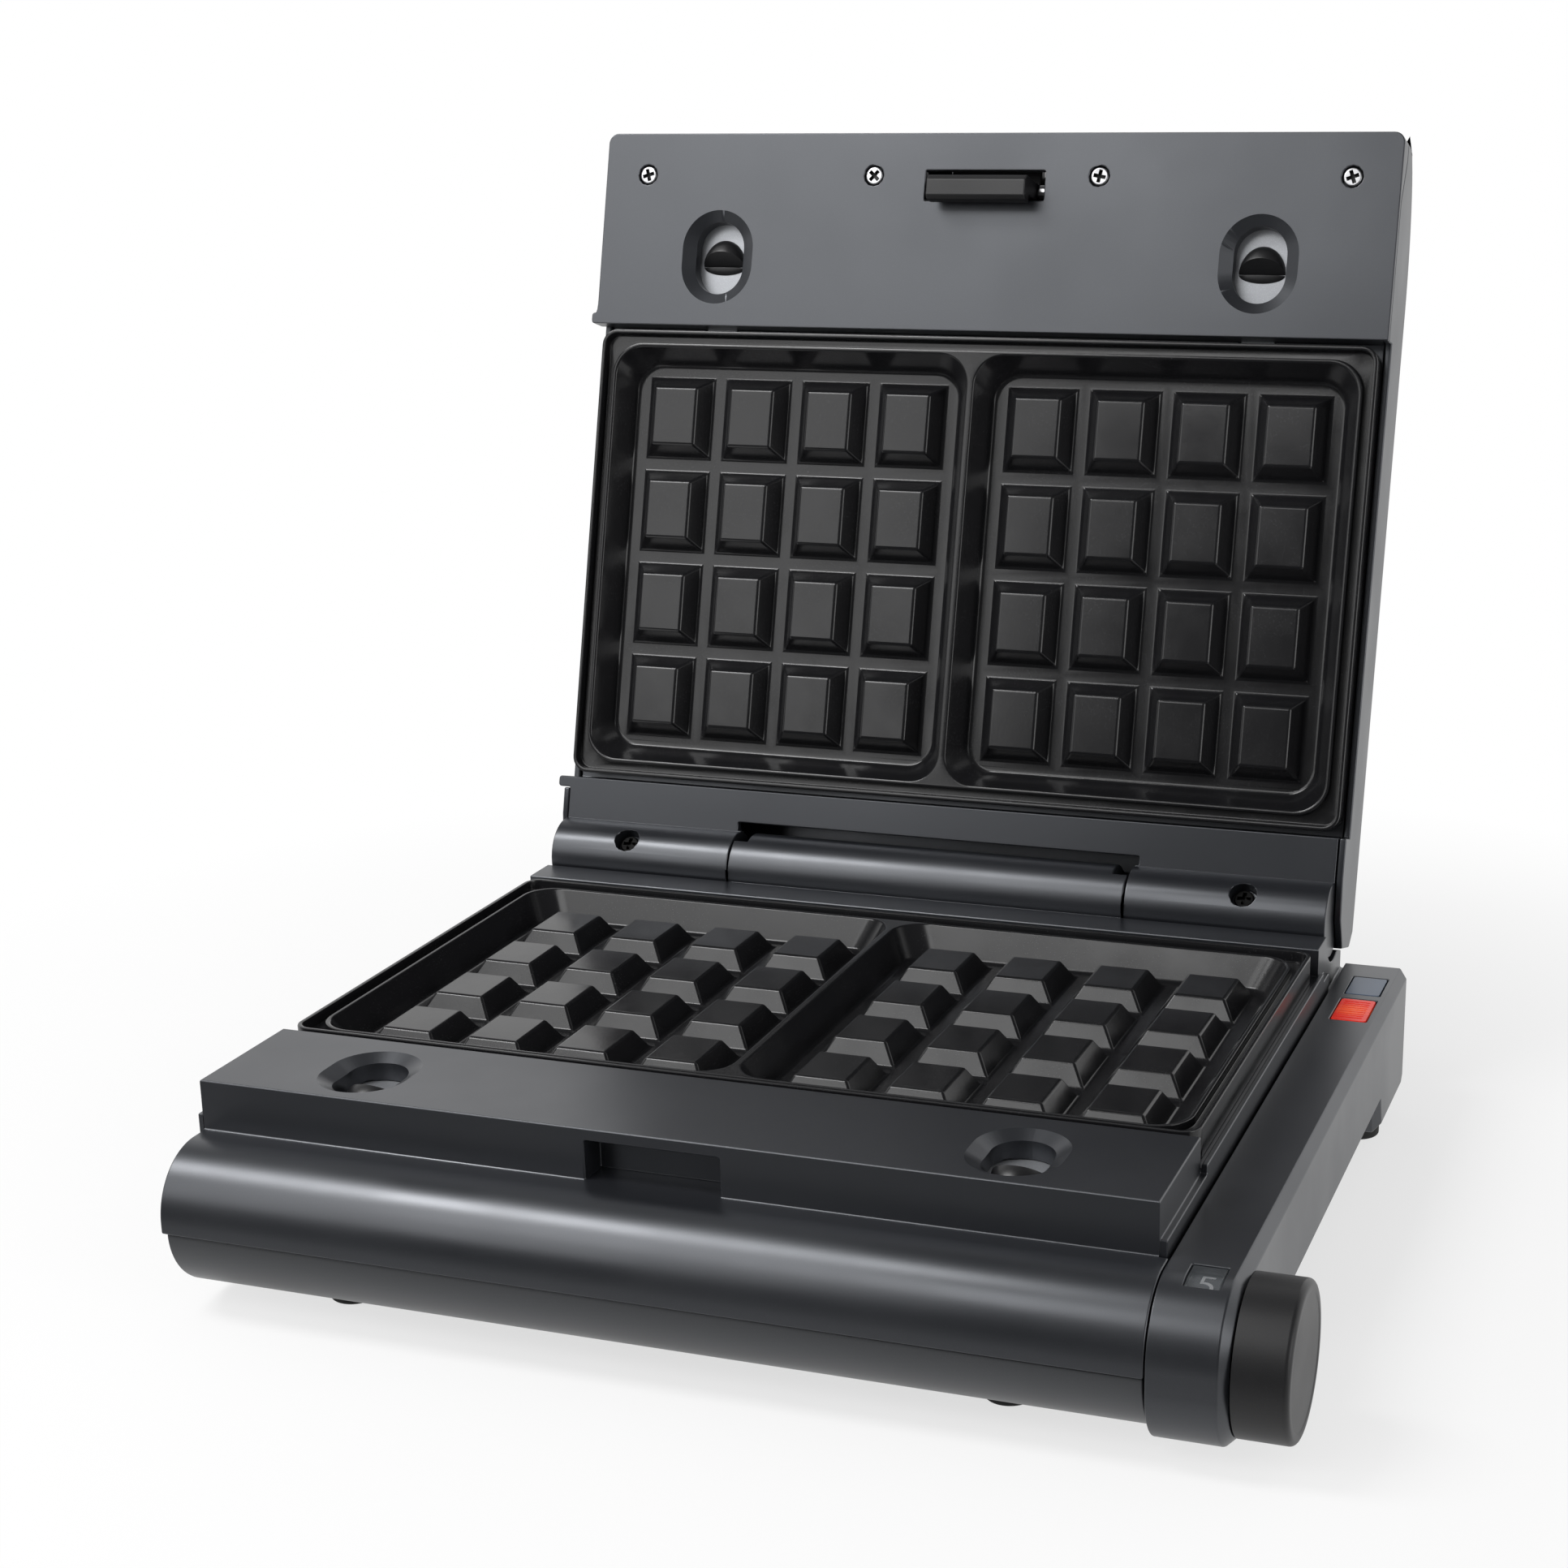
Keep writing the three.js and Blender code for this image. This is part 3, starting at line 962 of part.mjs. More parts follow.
function heaterSolid() {
  const [w, l, r] = [HEATER_HALF_WIDTH, HEATER_HALF_LENGTH, HEATER_CORNER];
  const depth = -POCKET_DEPTH - PLATE_SHEET - GAP - HEATER_RADIUS;
  const path = new THREE.CurvePath();
  const at = (x, y) => new THREE.Vector3(x, y, depth);
  const line = (x0, y0, x1, y1) => path.add(new THREE.LineCurve3(at(x0, y0), at(x1, y1)));
  const bend = (x0, y0, cx, cy, x1, y1) => path.add(
    new THREE.QuadraticBezierCurve3(at(x0, y0), at(cx, cy), at(x1, y1)),
  );
  line(w + HEATER_TAIL, l, w - r, l);
  line(w - r, l, -w + r, l);
  bend(-w + r, l, -w, l, -w, l - r);
  line(-w, l - r, -w, -l + r);
  bend(-w, -l + r, -w, -l, -w + r, -l);
  line(-w + r, -l, w - r, -l);
  bend(w - r, -l, w, -l, w, -l + r);
  line(w, -l + r, w, l - r - 10);
  bend(w, l - r - 10, w, l - r, w + 8, l - r);
  line(w + 8, l - r, w + HEATER_TAIL, l - r);
  const section = new THREE.Shape();
  section.absarc(0, 0, HEATER_RADIUS, 0, 2 * Math.PI);
  const geometry = new THREE.ExtrudeGeometry(section, {
    steps: 36, extrudePath: path, bevelEnabled: false, curveSegments: 4,
  });
  return solid(geometry);
}

function panSolid() {
  const half = PAN_HALF_WIDTH;
  const halfLength = plateBodyHalfLength + 2;
  const rim = -ledgeUnderside - GAP + PLATE_RECESS;
  const floor = -panDepth;
  const tray = (inset, z0, beyond) => taperedZ(
    roundedRectangle(-half + inset, half - inset, -halfLength + inset, halfLength - inset, PLATE_CORNER),
    z0, rim,
    beyond, [0, 0], [2 * (half - inset), 2 * (halfLength - inset)], PAN_DRAFT,
  );
  return tray(0, floor - PAN_THICKNESS, 0).subtract(tray(PAN_THICKNESS, floor, 1));
}

const heaterBody = heaterSolid();
const panBody = panSolid();
const lowerHeater = addPiece(base, 'lower_heating_element', heaterBody, 'steel');
const lowerPan = addPiece(base, 'lower_reflector', panBody, 'pan');
lowerHeater.position.copy(lowerPlate.position);
lowerPan.position.copy(lowerPlate.position);

// Thermal fuse, terminal block and cord gland

const panUnderside = -panDepth - PAN_THICKNESS - PLATE_RECESS;
addPiece(base, 'thermal_fuse', rodX(
  plateMiddle + FUSE_OFFSET, panUnderside - GAP - FUSE_RADIUS, FUSE_RADIUS, FUSE_X, FUSE_X + FUSE_LENGTH, 16,
), 'ceramic');
const terminalBottom = BELLY + TRAY_WALL + GAP;
addPiece(base, 'terminal_block', box(
  TERMINAL_X, TERMINAL_X + TERMINAL_WIDTH, TERMINAL_Y, TERMINAL_Y + TERMINAL_LENGTH,
  terminalBottom, terminalBottom + TERMINAL_HEIGHT,
), 'ceramic');
const gland = rodY(GLAND_X, GLAND_Z, GLAND_FLANGE_RADIUS, REAR_WALL + GAP, REAR_WALL + 4, 20)
  .add(rodY(GLAND_X, GLAND_Z, GLAND_RADIUS, REAR_WALL - 6, REAR_WALL + 3, 20))
  .subtract(rodY(GLAND_X, GLAND_Z, GLAND_BORE_RADIUS, REAR_WALL - 10, REAR_WALL + 8, 16));
addPiece(base, 'cord_gland', gland, 'rubber');

// Feet

function foot(x, y, top, peg) {
  const pad = rodZ(x, y, FOOT_RADIUS, FOOT_BOTTOM, top - GAP, 20);
  return pad.add(rodZ(x, y, FOOT_PEG_RADIUS, top - 1, top + peg, 12));
}

addPiece(base, 'foot_front_left', foot(-FRONT_FOOT_X, FRONT_FOOT_Y, ROLL_BOTTOM, FRONT_FOOT_PEG), 'rubber');
addPiece(base, 'foot_front_right', foot(FRONT_FOOT_X, FRONT_FOOT_Y, ROLL_BOTTOM, FRONT_FOOT_PEG), 'rubber');
addPiece(base, 'foot_rear_left', foot(REAR_LEFT_FOOT_X, REAR_FOOT_Y, ARM_LEG_BOTTOM, REAR_FOOT_PEG), 'rubber');
addPiece(
  base, 'foot_rear_right', foot(REAR_RIGHT_FOOT_X, REAR_FOOT_Y, ARM_LEG_BOTTOM, REAR_FOOT_PEG), 'rubber',
);

// Screws under the tray

function screw(x, y, headBottom, length) {
  return rodZ(x, y, SCREW_HEAD_RADIUS, headBottom, headBottom + SCREW_HEAD_HEIGHT)
    .add(rodZ(x, y, SCREW_SHANK_RADIUS, headBottom + SCREW_HEAD_HEIGHT - 0.2, headBottom + length, 8));
}

BASE_SCREWS.forEach(({ x, y }, i) => {
  const headBottom = BELLY + SCREW_SEAT - GAP - SCREW_HEAD_HEIGHT;
  addPiece(base, `base_screw_${i + 1}`, screw(x, y, headBottom, SCREW_LENGTH), 'steel');
});

// Plate release slides and springs of the base

for (const [name, x] of [['left', -RELEASE_X], ['right', RELEASE_X]]) {
  const slide = addPiece(base, `lower_plate_release_${name}`, releaseSlide(), 'darkPlastic');
  const spring = addPiece(base, `lower_release_spring_${name}`, releaseSpring(), 'steel');
  slide.position.x = x;
  spring.position.x = x;
}

// Lid. Its face is at Z = -faceDrop, and depths run up from there into the lid.

const face = -faceDrop;

function depthOutline(points) {
  return outline(points.map(([v, depth]) => [-v, face + depth]));
}

function flip(body) {
  const geometry = geometryOf(body);
  geometry.rotateY(Math.PI);
  geometry.translate(0, 0, face);
  return solid(geometry);
}

// The frame's solid front edge, which widens to the cover's outer faces
function tipWedge() {
  return depthOutline([
    [LID_TIP - LID_WEDGE_LENGTH, 0], [LID_TIP - LID_TIP_FLAT, LID_TIP_DEPTH],
    [LID_TIP, LID_TIP_DEPTH], [LID_TIP, 0],
  ]);
}

// One ear in the lid's left edge, which hooks round the cover
function ear(y) {
  const [start, end] = [-lidFrameHalf + 1, -LID_COVER_HALF - LID_EAR];
  const far = y + LID_EAR_LENGTH;
  const shape = new THREE.Shape();
  shape.moveTo(start, y);
  shape.lineTo(end + LID_EAR_CORNER, y);
  shape.quadraticCurveTo(end, y, end, y + LID_EAR_CORNER);
  shape.lineTo(end, far - LID_EAR_CORNER);
  shape.quadraticCurveTo(end, far, end + LID_EAR_CORNER, far);
  shape.lineTo(start, far);
  return prismZ(shape, face, face + RIM_RECESS - GAP);
}

// The flange's edge runs out into the front ear in a hollow curve
function earFillet() {
  const y = EAR_ENDS[0];
  const shape = new THREE.Shape();
  shape.moveTo(-LID_COVER_HALF + 1, y + 1);
  shape.lineTo(-LID_COVER_HALF + 1, y - LID_EAR_FILLET);
  shape.lineTo(-LID_COVER_HALF, y - LID_EAR_FILLET);
  shape.quadraticCurveTo(-LID_COVER_HALF, y, -LID_COVER_HALF - LID_EAR + LID_EAR_CORNER, y);
  shape.lineTo(-LID_COVER_HALF - LID_EAR + LID_EAR_CORNER, y + 1);
  return prismZ(shape, face, face + LID_FLANGE);
}

// What the rounding of the lid's two front corners takes away
function cornerWaste() {
  const [x, y] = [LID_COVER_HALF - LID_CORNER, -LID_TIP + LID_CORNER];
  return union(mirroredX((side) => sideBox(
    side, x, LID_COVER_HALF + 1, -LID_TIP - 1, y, face - 1, face + LID_THICKNESS + 1,
  ).subtract(rodZ(side * x, y, LID_CORNER, face - 2, face + LID_THICKNESS + 2, 32))));
}

function lidFrame() {
  const far = LID_COVER_HALF + 5;
  const strip = (y0, y1) => box(-lidFrameHalf, lidFrameHalf, y0, y1, face, face + ledgeUnderside);
  const block = strip(-LID_TIP, -BARREL_RADIUS + 1).subtract(union([
    box(-far, far, FRONT_STRIP_BACK, REAR_STRIP_FRONT, face - 2, face + LEDGE_DEPTH),
    box(
      -openingHalfWidth, openingHalfWidth, FRONT_STRIP_BACK + LEDGE_WIDTH, REAR_STRIP_FRONT - LEDGE_WIDTH,
      face - 2, face + OVERRUN,
    ),
    box(
      -lidFrameHalf + LID_SKIN, lidFrameHalf - LID_SKIN, -LID_TIP + LID_SKIN, FRONT_STRIP_BACK - LID_SKIN,
      face + LID_SKIN, face + OVERRUN,
    ),
    box(
      -lidFrameHalf + LID_SKIN, lidFrameHalf - LID_SKIN, REAR_STRIP_FRONT + LID_SKIN, -BARREL_RADIUS + 2,
      face + LID_SKIN, face + OVERRUN,
    ),
    box(-far, far, -LID_TIP - 1, -LID_TIP + LID_TIP_FLAT, face + LID_TIP_DEPTH, face + OVERRUN),
  ]));
  const wedge = prismX(tipWedge(), -LID_COVER_HALF, LID_COVER_HALF).subtract(box(
    -lidFrameHalf + LID_COVER_WALL, lidFrameHalf - LID_COVER_WALL,
    -LID_TIP + LID_COVER_WALL, -LID_TIP + LID_WEDGE_LENGTH + 4.5, face + LID_SKIN, face + LID_TIP_DEPTH + 2,
  ));
  const barrels = mirroredX((side) => rodX(
    0, 0, BARREL_RADIUS,
    Math.min(side * barrelInnerX, side * lidFrameHalf), Math.max(side * barrelInnerX, side * lidFrameHalf),
    BARREL_SIDES,
  ));
  const rearSkin = box(
    -lidFrameHalf, lidFrameHalf, -BARREL_RADIUS - 1, -BARREL_RADIUS + 7, face, face + LID_SKIN,
  );
  const bossTop = face + LID_BOSS_DEPTH;
  const bosses = LID_SCREWS_X.map((x) => rodZ(x, -LID_SCREW_V, LID_BOSS_RADIUS, face + 1, bossTop));
  const pinEars = mirroredX((side) => sideBox(
    side, HOOK_HALF_WIDTH + 4.4, HOOK_HALF_WIDTH + 7.4, -HOOK_STEM_FRONT, -HOOK_STEM_BACK + 1,
    face + 1, face + HOOK_PIVOT_DEPTH + 2.9,
  ));
  const flange = box(-LID_COVER_HALF, LID_COVER_HALF, -LID_TIP, FRONT_STRIP_BACK, face, face + LID_FLANGE);
  const ears = [...EAR_ENDS.map(ear), earFillet()];
  const wells = [-RELEASE_X, RELEASE_X].map((x) => flip(releaseWell(x)));
  const frame = union([block, flange, wedge, ...barrels, rearSkin, ...bosses, ...pinEars, ...ears, ...wells]);
  const pivotY = -(HOOK_STEM_BACK + HOOK_STEM_FRONT) / 2;
  const cutout = CENTRE_BARREL_HALF + RUNNING_GAP + 1.2;
  return frame.subtract(union([
    cornerWaste(),
    box(
      -cutout, cutout, -BARREL_RADIUS - 3, BARREL_RADIUS + 1, -BARREL_RADIUS - 1, BARREL_RADIUS + 5,
    ).subtract(union(mirroredX((side) => sideBox(
      side, barrelInnerX, cutout + 1, -BARREL_RADIUS - 0.2, BARREL_RADIUS + 1,
      -BARREL_RADIUS - 2, BARREL_RADIUS + 6,
    )))),
    flip(releaseHole(-RELEASE_X)), flip(releaseHole(RELEASE_X)),
    flip(tongueSlot(-RELEASE_X)), flip(tongueSlot(RELEASE_X)),
    box(
      -HOOK_HALF_WIDTH - 3.4, HOOK_HALF_WIDTH + 3.4, -HOOK_STEM_FRONT - 3, -HOOK_STEM_BACK + 0.8,
      face - 1, face + 4,
    ),
    rodX(
      pivotY, face + HOOK_PIVOT_DEPTH, LATCH_PIN_RADIUS + 0.2,
      -HOOK_HALF_WIDTH - LATCH_PIN_OVERHANG - 2, HOOK_HALF_WIDTH + LATCH_PIN_OVERHANG + 2, 16,
    ),
    ...LID_SCREWS_X.map((x) => rodZ(x, -LID_SCREW_V, SCREW_HOLE_RADIUS, face - 1, face + 2.2)),
    ...LID_SCREWS_X.map((x) => rodZ(x, -LID_SCREW_V, SCREW_SHANK_RADIUS + 0.2, face - 1, face + OVERRUN)),
    rodX(0, 0, PIN_RADIUS + GAP, barrelInnerX - 1, PIN_OUTER_X + GAP),
    rodX(0, 0, PIN_RADIUS + GAP, -PIN_OUTER_X - GAP, -barrelInnerX + 1),
    ...[-1, 1].map((side) => hingeScrewHole(side)),
  ]));
}

function alongHingeScrew(body, side) {
  const geometry = geometryOf(body);
  geometry.rotateX(THREE.MathUtils.degToRad(180 - HINGE_SCREW_TILT));
  geometry.translate(side * HINGE_SCREW_X, 0, 0);
  return solid(geometry);
}

function hingeScrewHole(side) {
  const hole = rodZ(0, 0, HINGE_HOLE_RADIUS, HINGE_SCREW_SEAT, BARREL_RADIUS + 9, 16)
    .add(rodZ(0, 0, SCREW_SHANK_RADIUS + 0.2, PIN_RADIUS - 1, HINGE_SCREW_SEAT + 1.8, 8));
  return alongHingeScrew(hole, side);
}

addPiece(lid, 'lid_frame', lidFrame(), 'housing');

for (const [name, side] of [['left', -1], ['right', 1]]) {
  const [start, end] = side < 0 ? [-PIN_OUTER_X, -PIN_INNER_X] : [PIN_INNER_X, PIN_OUTER_X];
  const pin = rodX(0, 0, PIN_RADIUS, start, end);
  addPiece(lid, `hinge_pin_${name}`, pin, 'steel');
  const body = rodZ(0, 0, HINGE_SCREW_RADIUS, HINGE_SCREW_SEAT + GAP, HINGE_SCREW_SEAT + HINGE_SCREW_HEAD)
    .add(rodZ(0, 0, SCREW_SHANK_RADIUS, PIN_RADIUS + GAP, HINGE_SCREW_SEAT + 0.8, 8));
  addPiece(lid, `hinge_screw_${name}`, alongHingeScrew(body, side), 'steel');
}

// Outer cover of the lid

function coverOutline(inset) {
  const rear = -LID_REAR + inset;
  const top = LID_THICKNESS - inset;
  const front = new THREE.EllipseCurve(
    -LID_TIP + LID_NOSE_LENGTH, face + LID_NOSE_DEPTH,
    LID_NOSE_LENGTH - inset, LID_THICKNESS - LID_NOSE_DEPTH - inset, Math.PI / 2, Math.PI,
  );
  const shape = new THREE.Shape();
  const at = (v, depth) => shape.lineTo(-v, face + depth);
  shape.moveTo(-rear, face + 9.6 - (inset > 0 ? 12 : 0));
  at(rear, top - LID_REAR_CHAMFER);
  at(rear + LID_REAR_CHAMFER, top);
  front.getPoints(ROLL_SEGMENTS).forEach((p) => shape.lineTo(p.x, p.y));
  if (inset > 0) {
    at(LID_TIP - inset, -3);
    return shape;
  }
  at(LID_TIP, LID_TIP_DEPTH + GAP);
  at(LID_TIP - LID_TIP_FLAT - GAP, LID_TIP_DEPTH + GAP);
  at(wedgeRoot - GAP, LID_FLANGE + GAP);
  at(-FRONT_STRIP_BACK, LID_FLANGE + GAP);
  at(-FRONT_STRIP_BACK, RIM_RECESS);
  at(-REAR_STRIP_FRONT, RIM_RECESS);
  at(-REAR_STRIP_FRONT, 0.5);
  at(BARREL_RADIUS + 1, 0.5);
  at(0, 3);
  return shape;
}

function lidCover() {
  const innerHalf = LID_COVER_HALF - LID_COVER_WALL;
  let cover = prismX(coverOutline(0), -LID_COVER_HALF, LID_COVER_HALF);
  cover = cover.subtract(prismX(coverOutline(LID_COVER_WALL), -innerHalf, innerHalf));
  const bosses = LID_SCREWS_X.map((x) => rodZ(
    x, -LID_SCREW_V, SCREW_BOSS_RADIUS, face + LID_BOSS_DEPTH + GAP, face + LID_THICKNESS - 7.4,
  ));
  cover = union([cover, ...bosses]);
  const barrelRoom = rodX(0, 0, BARREL_RADIUS + 0.6, -innerHalf, innerHalf, BARREL_SIDES);
  const padHole = box(
    -HOOK_HALF_WIDTH - RUNNING_GAP, HOOK_HALF_WIDTH + RUNNING_GAP, -LID_TIP - 2, -HOOK_STEM_FRONT + 1,
    face + LID_TIP_DEPTH, face + PAD_HOLE_TOP,
  );
  return cover.subtract(union([
    barrelRoom, padHole, cornerWaste(),
    ...EAR_ENDS.map((y) => box(
      -LID_COVER_HALF - 1, -lidFrameHalf, y - GAP, y + LID_EAR_LENGTH + GAP, face, face + RIM_RECESS,
    )),
    ...LID_SCREWS_X.map((x) => rodZ(
      x, -LID_SCREW_V, SCREW_SHANK_RADIUS + 0.2, face + LID_BOSS_DEPTH - 1.6, face + LID_THICKNESS - 10,
    )),
  ]));
}

addPiece(lid, 'lid_cover', lidCover(), 'housing');
LID_SCREWS_X.forEach((x, i) => {
  const headTop = face + 2.2 - GAP;
  const body = rodZ(x, -LID_SCREW_V, SCREW_HEAD_RADIUS, headTop - SCREW_HEAD_HEIGHT, headTop, 16)
    .add(rodZ(x, -LID_SCREW_V, SCREW_SHANK_RADIUS, face + 1, face + 14, 8));
  addPiece(lid, `lid_screw_${i + 1}`, body, 'steel');
});

// Upper plate, heater and reflector: the lower ones turned over

for (const [name, body, material] of [
  ['upper_plate', plateBody, 'nonStick'],
  ['upper_heating_element', heaterBody, 'steel'],
  ['upper_reflector', panBody, 'pan'],
]) {
  const piece = addPiece(lid, name, body, material);
  piece.rotation.y = Math.PI;
  piece.position.set(0, plateMiddle, face + PLATE_RECESS);
}

for (const [name, x] of [['left', -RELEASE_X], ['right', RELEASE_X]]) {
  const slide = addPiece(lid, `upper_plate_release_${name}`, flip(releaseSlide()), 'darkPlastic');
  const spring = addPiece(lid, `upper_release_spring_${name}`, flip(releaseSpring()), 'steel');
  slide.position.x = x;
  spring.position.x = x;
}

// Latch hook, its pin and spring

function latchHook() {
  const [back, front, nose] = [HOOK_STEM_BACK, HOOK_STEM_FRONT, HOOK_NOSE];
  const catchTop = NOTCH_TOP - LID_GAP - GAP;
  const shape = depthOutline([
    [back, catchTop], [nose, catchTop], [nose, -HOOK_REACH + 1.2], [nose + 1.2, -HOOK_REACH],
    [front - 1.6, -HOOK_REACH], [front, -HOOK_REACH + 1.6], [front, PAD_BOTTOM], [PAD_FRONT - 3.4, PAD_BOTTOM],
    [PAD_FRONT, PAD_BOTTOM + 0.3], [PAD_FRONT - 1.8, PAD_TOP - 1.8], [PAD_FRONT - 4, PAD_TOP],
    [front - 2, PAD_TOP], [back, HOOK_PIVOT_DEPTH + 2.9],
  ]);
  const body = prismX(shape, -HOOK_HALF_WIDTH, HOOK_HALF_WIDTH);
  const sideCut = mirroredX((side) => sideBox(
    side, HOOK_HALF_WIDTH - 1.2, HOOK_HALF_WIDTH + 1, -LID_TIP, -HOOK_STEM_FRONT - GAP, face, face + 20,
  ));
  const pivotY = -(back + front) / 2;
  const bore = rodX(
    pivotY, face + HOOK_PIVOT_DEPTH, LATCH_PIN_RADIUS + 0.2, -HOOK_HALF_WIDTH - 1, HOOK_HALF_WIDTH + 1, 16,
  );
  return body.subtract(union([bore, ...sideCut]));
}

const pivotY = -(HOOK_STEM_BACK + HOOK_STEM_FRONT) / 2;
const pivotZ = face + HOOK_PIVOT_DEPTH;
addPiece(lid, 'latch_hook', latchHook(), 'darkPlastic');
addPiece(lid, 'latch_pin', rodX(
  pivotY, pivotZ, LATCH_PIN_RADIUS,
  -HOOK_HALF_WIDTH - LATCH_PIN_OVERHANG, HOOK_HALF_WIDTH + LATCH_PIN_OVERHANG, 16,
), 'steel');
const latchSpring = rodX(pivotY, pivotZ, LATCH_PIN_RADIUS + 1.1, HOOK_HALF_WIDTH + 0.5, HOOK_HALF_WIDTH + 4, 16)
  .subtract(rodX(pivotY, pivotZ, LATCH_PIN_RADIUS + GAP, HOOK_HALF_WIDTH, HOOK_HALF_WIDTH + 5, 16));
addPiece(lid, 'latch_spring', latchSpring, 'steel');

// Stand the object on its feet, with the origin under the middle of its box

snackMaker.updateMatrixWorld(true);
const bounds = new THREE.Box3().setFromObject(snackMaker, true);
const centre = bounds.getCenter(new THREE.Vector3());
snackMaker.position.set(-centre.x, -centre.y, -bounds.min.z);
snackMaker.updateMatrixWorld(true);

export default snackMaker;
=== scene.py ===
"""Snack maker: its visible pieces, finishes and stage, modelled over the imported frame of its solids."""

import math

import bmesh
import bpy
from bpy.props import FloatProperty, FloatVectorProperty, IntProperty, PointerProperty
from mathutils import Matrix, Vector
from mathutils.bvhtree import BVHTree


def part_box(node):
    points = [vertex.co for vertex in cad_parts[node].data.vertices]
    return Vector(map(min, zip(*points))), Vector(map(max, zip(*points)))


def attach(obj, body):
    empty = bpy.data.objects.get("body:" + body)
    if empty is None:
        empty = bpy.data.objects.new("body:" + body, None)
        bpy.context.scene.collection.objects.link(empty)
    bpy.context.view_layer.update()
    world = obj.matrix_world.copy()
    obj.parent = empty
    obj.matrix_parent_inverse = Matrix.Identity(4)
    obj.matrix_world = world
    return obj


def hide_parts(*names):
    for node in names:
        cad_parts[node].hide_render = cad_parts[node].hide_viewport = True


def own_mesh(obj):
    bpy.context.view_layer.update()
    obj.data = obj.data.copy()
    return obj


bl_info = {
    "name": "Snack Maker",
    "version": (1, 0, 0),
    "blender": (4, 5, 0),
    "location": "3D View > Sidebar > Snack Maker",
    "description": "Models the visible pieces of a snack maker over its frame, with finishes and a stage",
    "category": "Object",
}

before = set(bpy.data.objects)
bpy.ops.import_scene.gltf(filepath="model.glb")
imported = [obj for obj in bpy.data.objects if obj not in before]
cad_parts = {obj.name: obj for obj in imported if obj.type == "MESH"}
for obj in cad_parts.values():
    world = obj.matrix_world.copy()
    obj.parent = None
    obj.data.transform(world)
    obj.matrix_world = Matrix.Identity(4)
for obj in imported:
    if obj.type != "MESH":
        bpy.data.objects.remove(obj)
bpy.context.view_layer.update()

# Places. Pieces are modelled in millimetres in one of these frames and then set into place.
MM = 0.001
HINGE_RISE = 1.2
OPEN_ANGLE = math.radians(105.7)
LID_FACE = -0.8
PLATE_RECESS = 0.1
PLATE_MIDDLE = -96.6
RELEASE_X = 86.3
RELEASE_Y = -190.5
KNOB_Y = -211.2
KNOB_Z = -33.2
X, Y, Z = 0, 1, 2
FACING_IN = Matrix.Rotation(math.pi, 4, "Y")


def middle(node):
    low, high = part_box(node)
    return (low + high) / 2


HINGE = Vector((middle("lower_plate").x, middle("hinge_pin_left").y, middle("hinge_pin_left").z))
DECK = Matrix.Translation(HINGE - Vector((0, 0, HINGE_RISE * MM))) @ Matrix.Scale(MM, 4)
LID = Matrix.Translation(HINGE) @ Matrix.Rotation(-OPEN_ANGLE, 4, "X") @ Matrix.Scale(MM, 4)
LOWER_PLATE = DECK @ Matrix.Translation((0, PLATE_MIDDLE, -PLATE_RECESS))
UPPER_PLATE = LID @ Matrix.Translation((0, PLATE_MIDDLE, LID_FACE + PLATE_RECESS)) @ FACING_IN
LID_INWARDS = LID @ Matrix.Translation((0, 0, LID_FACE)) @ FACING_IN
KNOB_AXIS = DECK @ Matrix.Translation((0, KNOB_Y, KNOB_Z))


# Sizes, colours and lights that a user would change


def millimetres(name, use, default, low, high):
    return FloatProperty(
        name=name, description=use + ", in millimetres", default=default, min=low, max=high
    )


def tint(name, use, default):
    return FloatVectorProperty(name=name, description=use, subtype="COLOR", size=3, default=default)


def power(name, use, default):
    return FloatProperty(name=name, description="Power of the " + use, unit="POWER", default=default, min=0)


class SnackMakerSizes(bpy.types.PropertyGroup):
    shell_edge: millimetres("Shell edge", "Rounding of the housing's edges", 0.5, 0.1, 1.2)
    stud_edge: millimetres("Stud edge", "Rounding of the studs in the plates", 0.75, 0.2, 1.5)
    plate_edge: millimetres("Plate edge", "Rounding of the lip and beads", 0.42, 0.1, 0.6)
    number_height: millimetres("Number height", "Height of the numbers on the drum", 7.8, 4, 12)


class SnackMakerColours(bpy.types.PropertyGroup):
    housing: tint("Housing", "Moulded housing and lid", (0.0120, 0.0129, 0.0155))
    roll: tint("Tray", "Lower half of the roll", (0.018, 0.0185, 0.0195))
    dark: tint("Dark plastic", "Knob, hook and slides", (0.0095, 0.0095, 0.0105))
    coating: tint("Coating", "Non-stick coating of the plates", (0.009, 0.009, 0.010))
    red_lens: tint("Red lens", "Power lamp lens", (0.56, 0.020, 0.010))
    grey_lens: tint("Grey lens", "Ready lamp lens", (0.075, 0.10, 0.145))


class SnackMakerStage(bpy.types.PropertyGroup):
    ambient: FloatProperty(name="Ambient", description="Light from all round", default=0.34, min=0, max=1)
    key: power("Key", "softbox high in front on the left", 4.1)
    front: power("Front", "dim softbox below the key", 2.0)
    top: power("Top", "long softbox above", 7.4)
    side: power("Side", "softbox on the right", 3.4)
    floor_sides: IntProperty(
        name="Floor detail", description="Sides of the round floor", default=96, min=24, max=256
    )


# Bench: small steps that every piece uses

NEAR = 0.01
WELD = 0.001


def activate(obj):
    bpy.ops.object.select_all(action="DESELECT")
    obj.select_set(True)
    bpy.context.view_layer.objects.active = obj


def edit(obj):
    activate(obj)
    bpy.ops.object.mode_set(mode="EDIT")


def leave_edit():
    bpy.ops.object.mode_set(mode="OBJECT")


def apply_place():
    bpy.ops.object.transform_apply(location=True, rotation=True, scale=True)


def set_scale(obj, scale):
    obj.scale = scale
    activate(obj)
    apply_place()
    return obj


def fresh(add, **settings):
    """A primitive, alone in the selection, with its place applied to its mesh."""
    bpy.ops.object.select_all(action="DESELECT")
    add(**settings)
    apply_place()
    return bpy.context.active_object


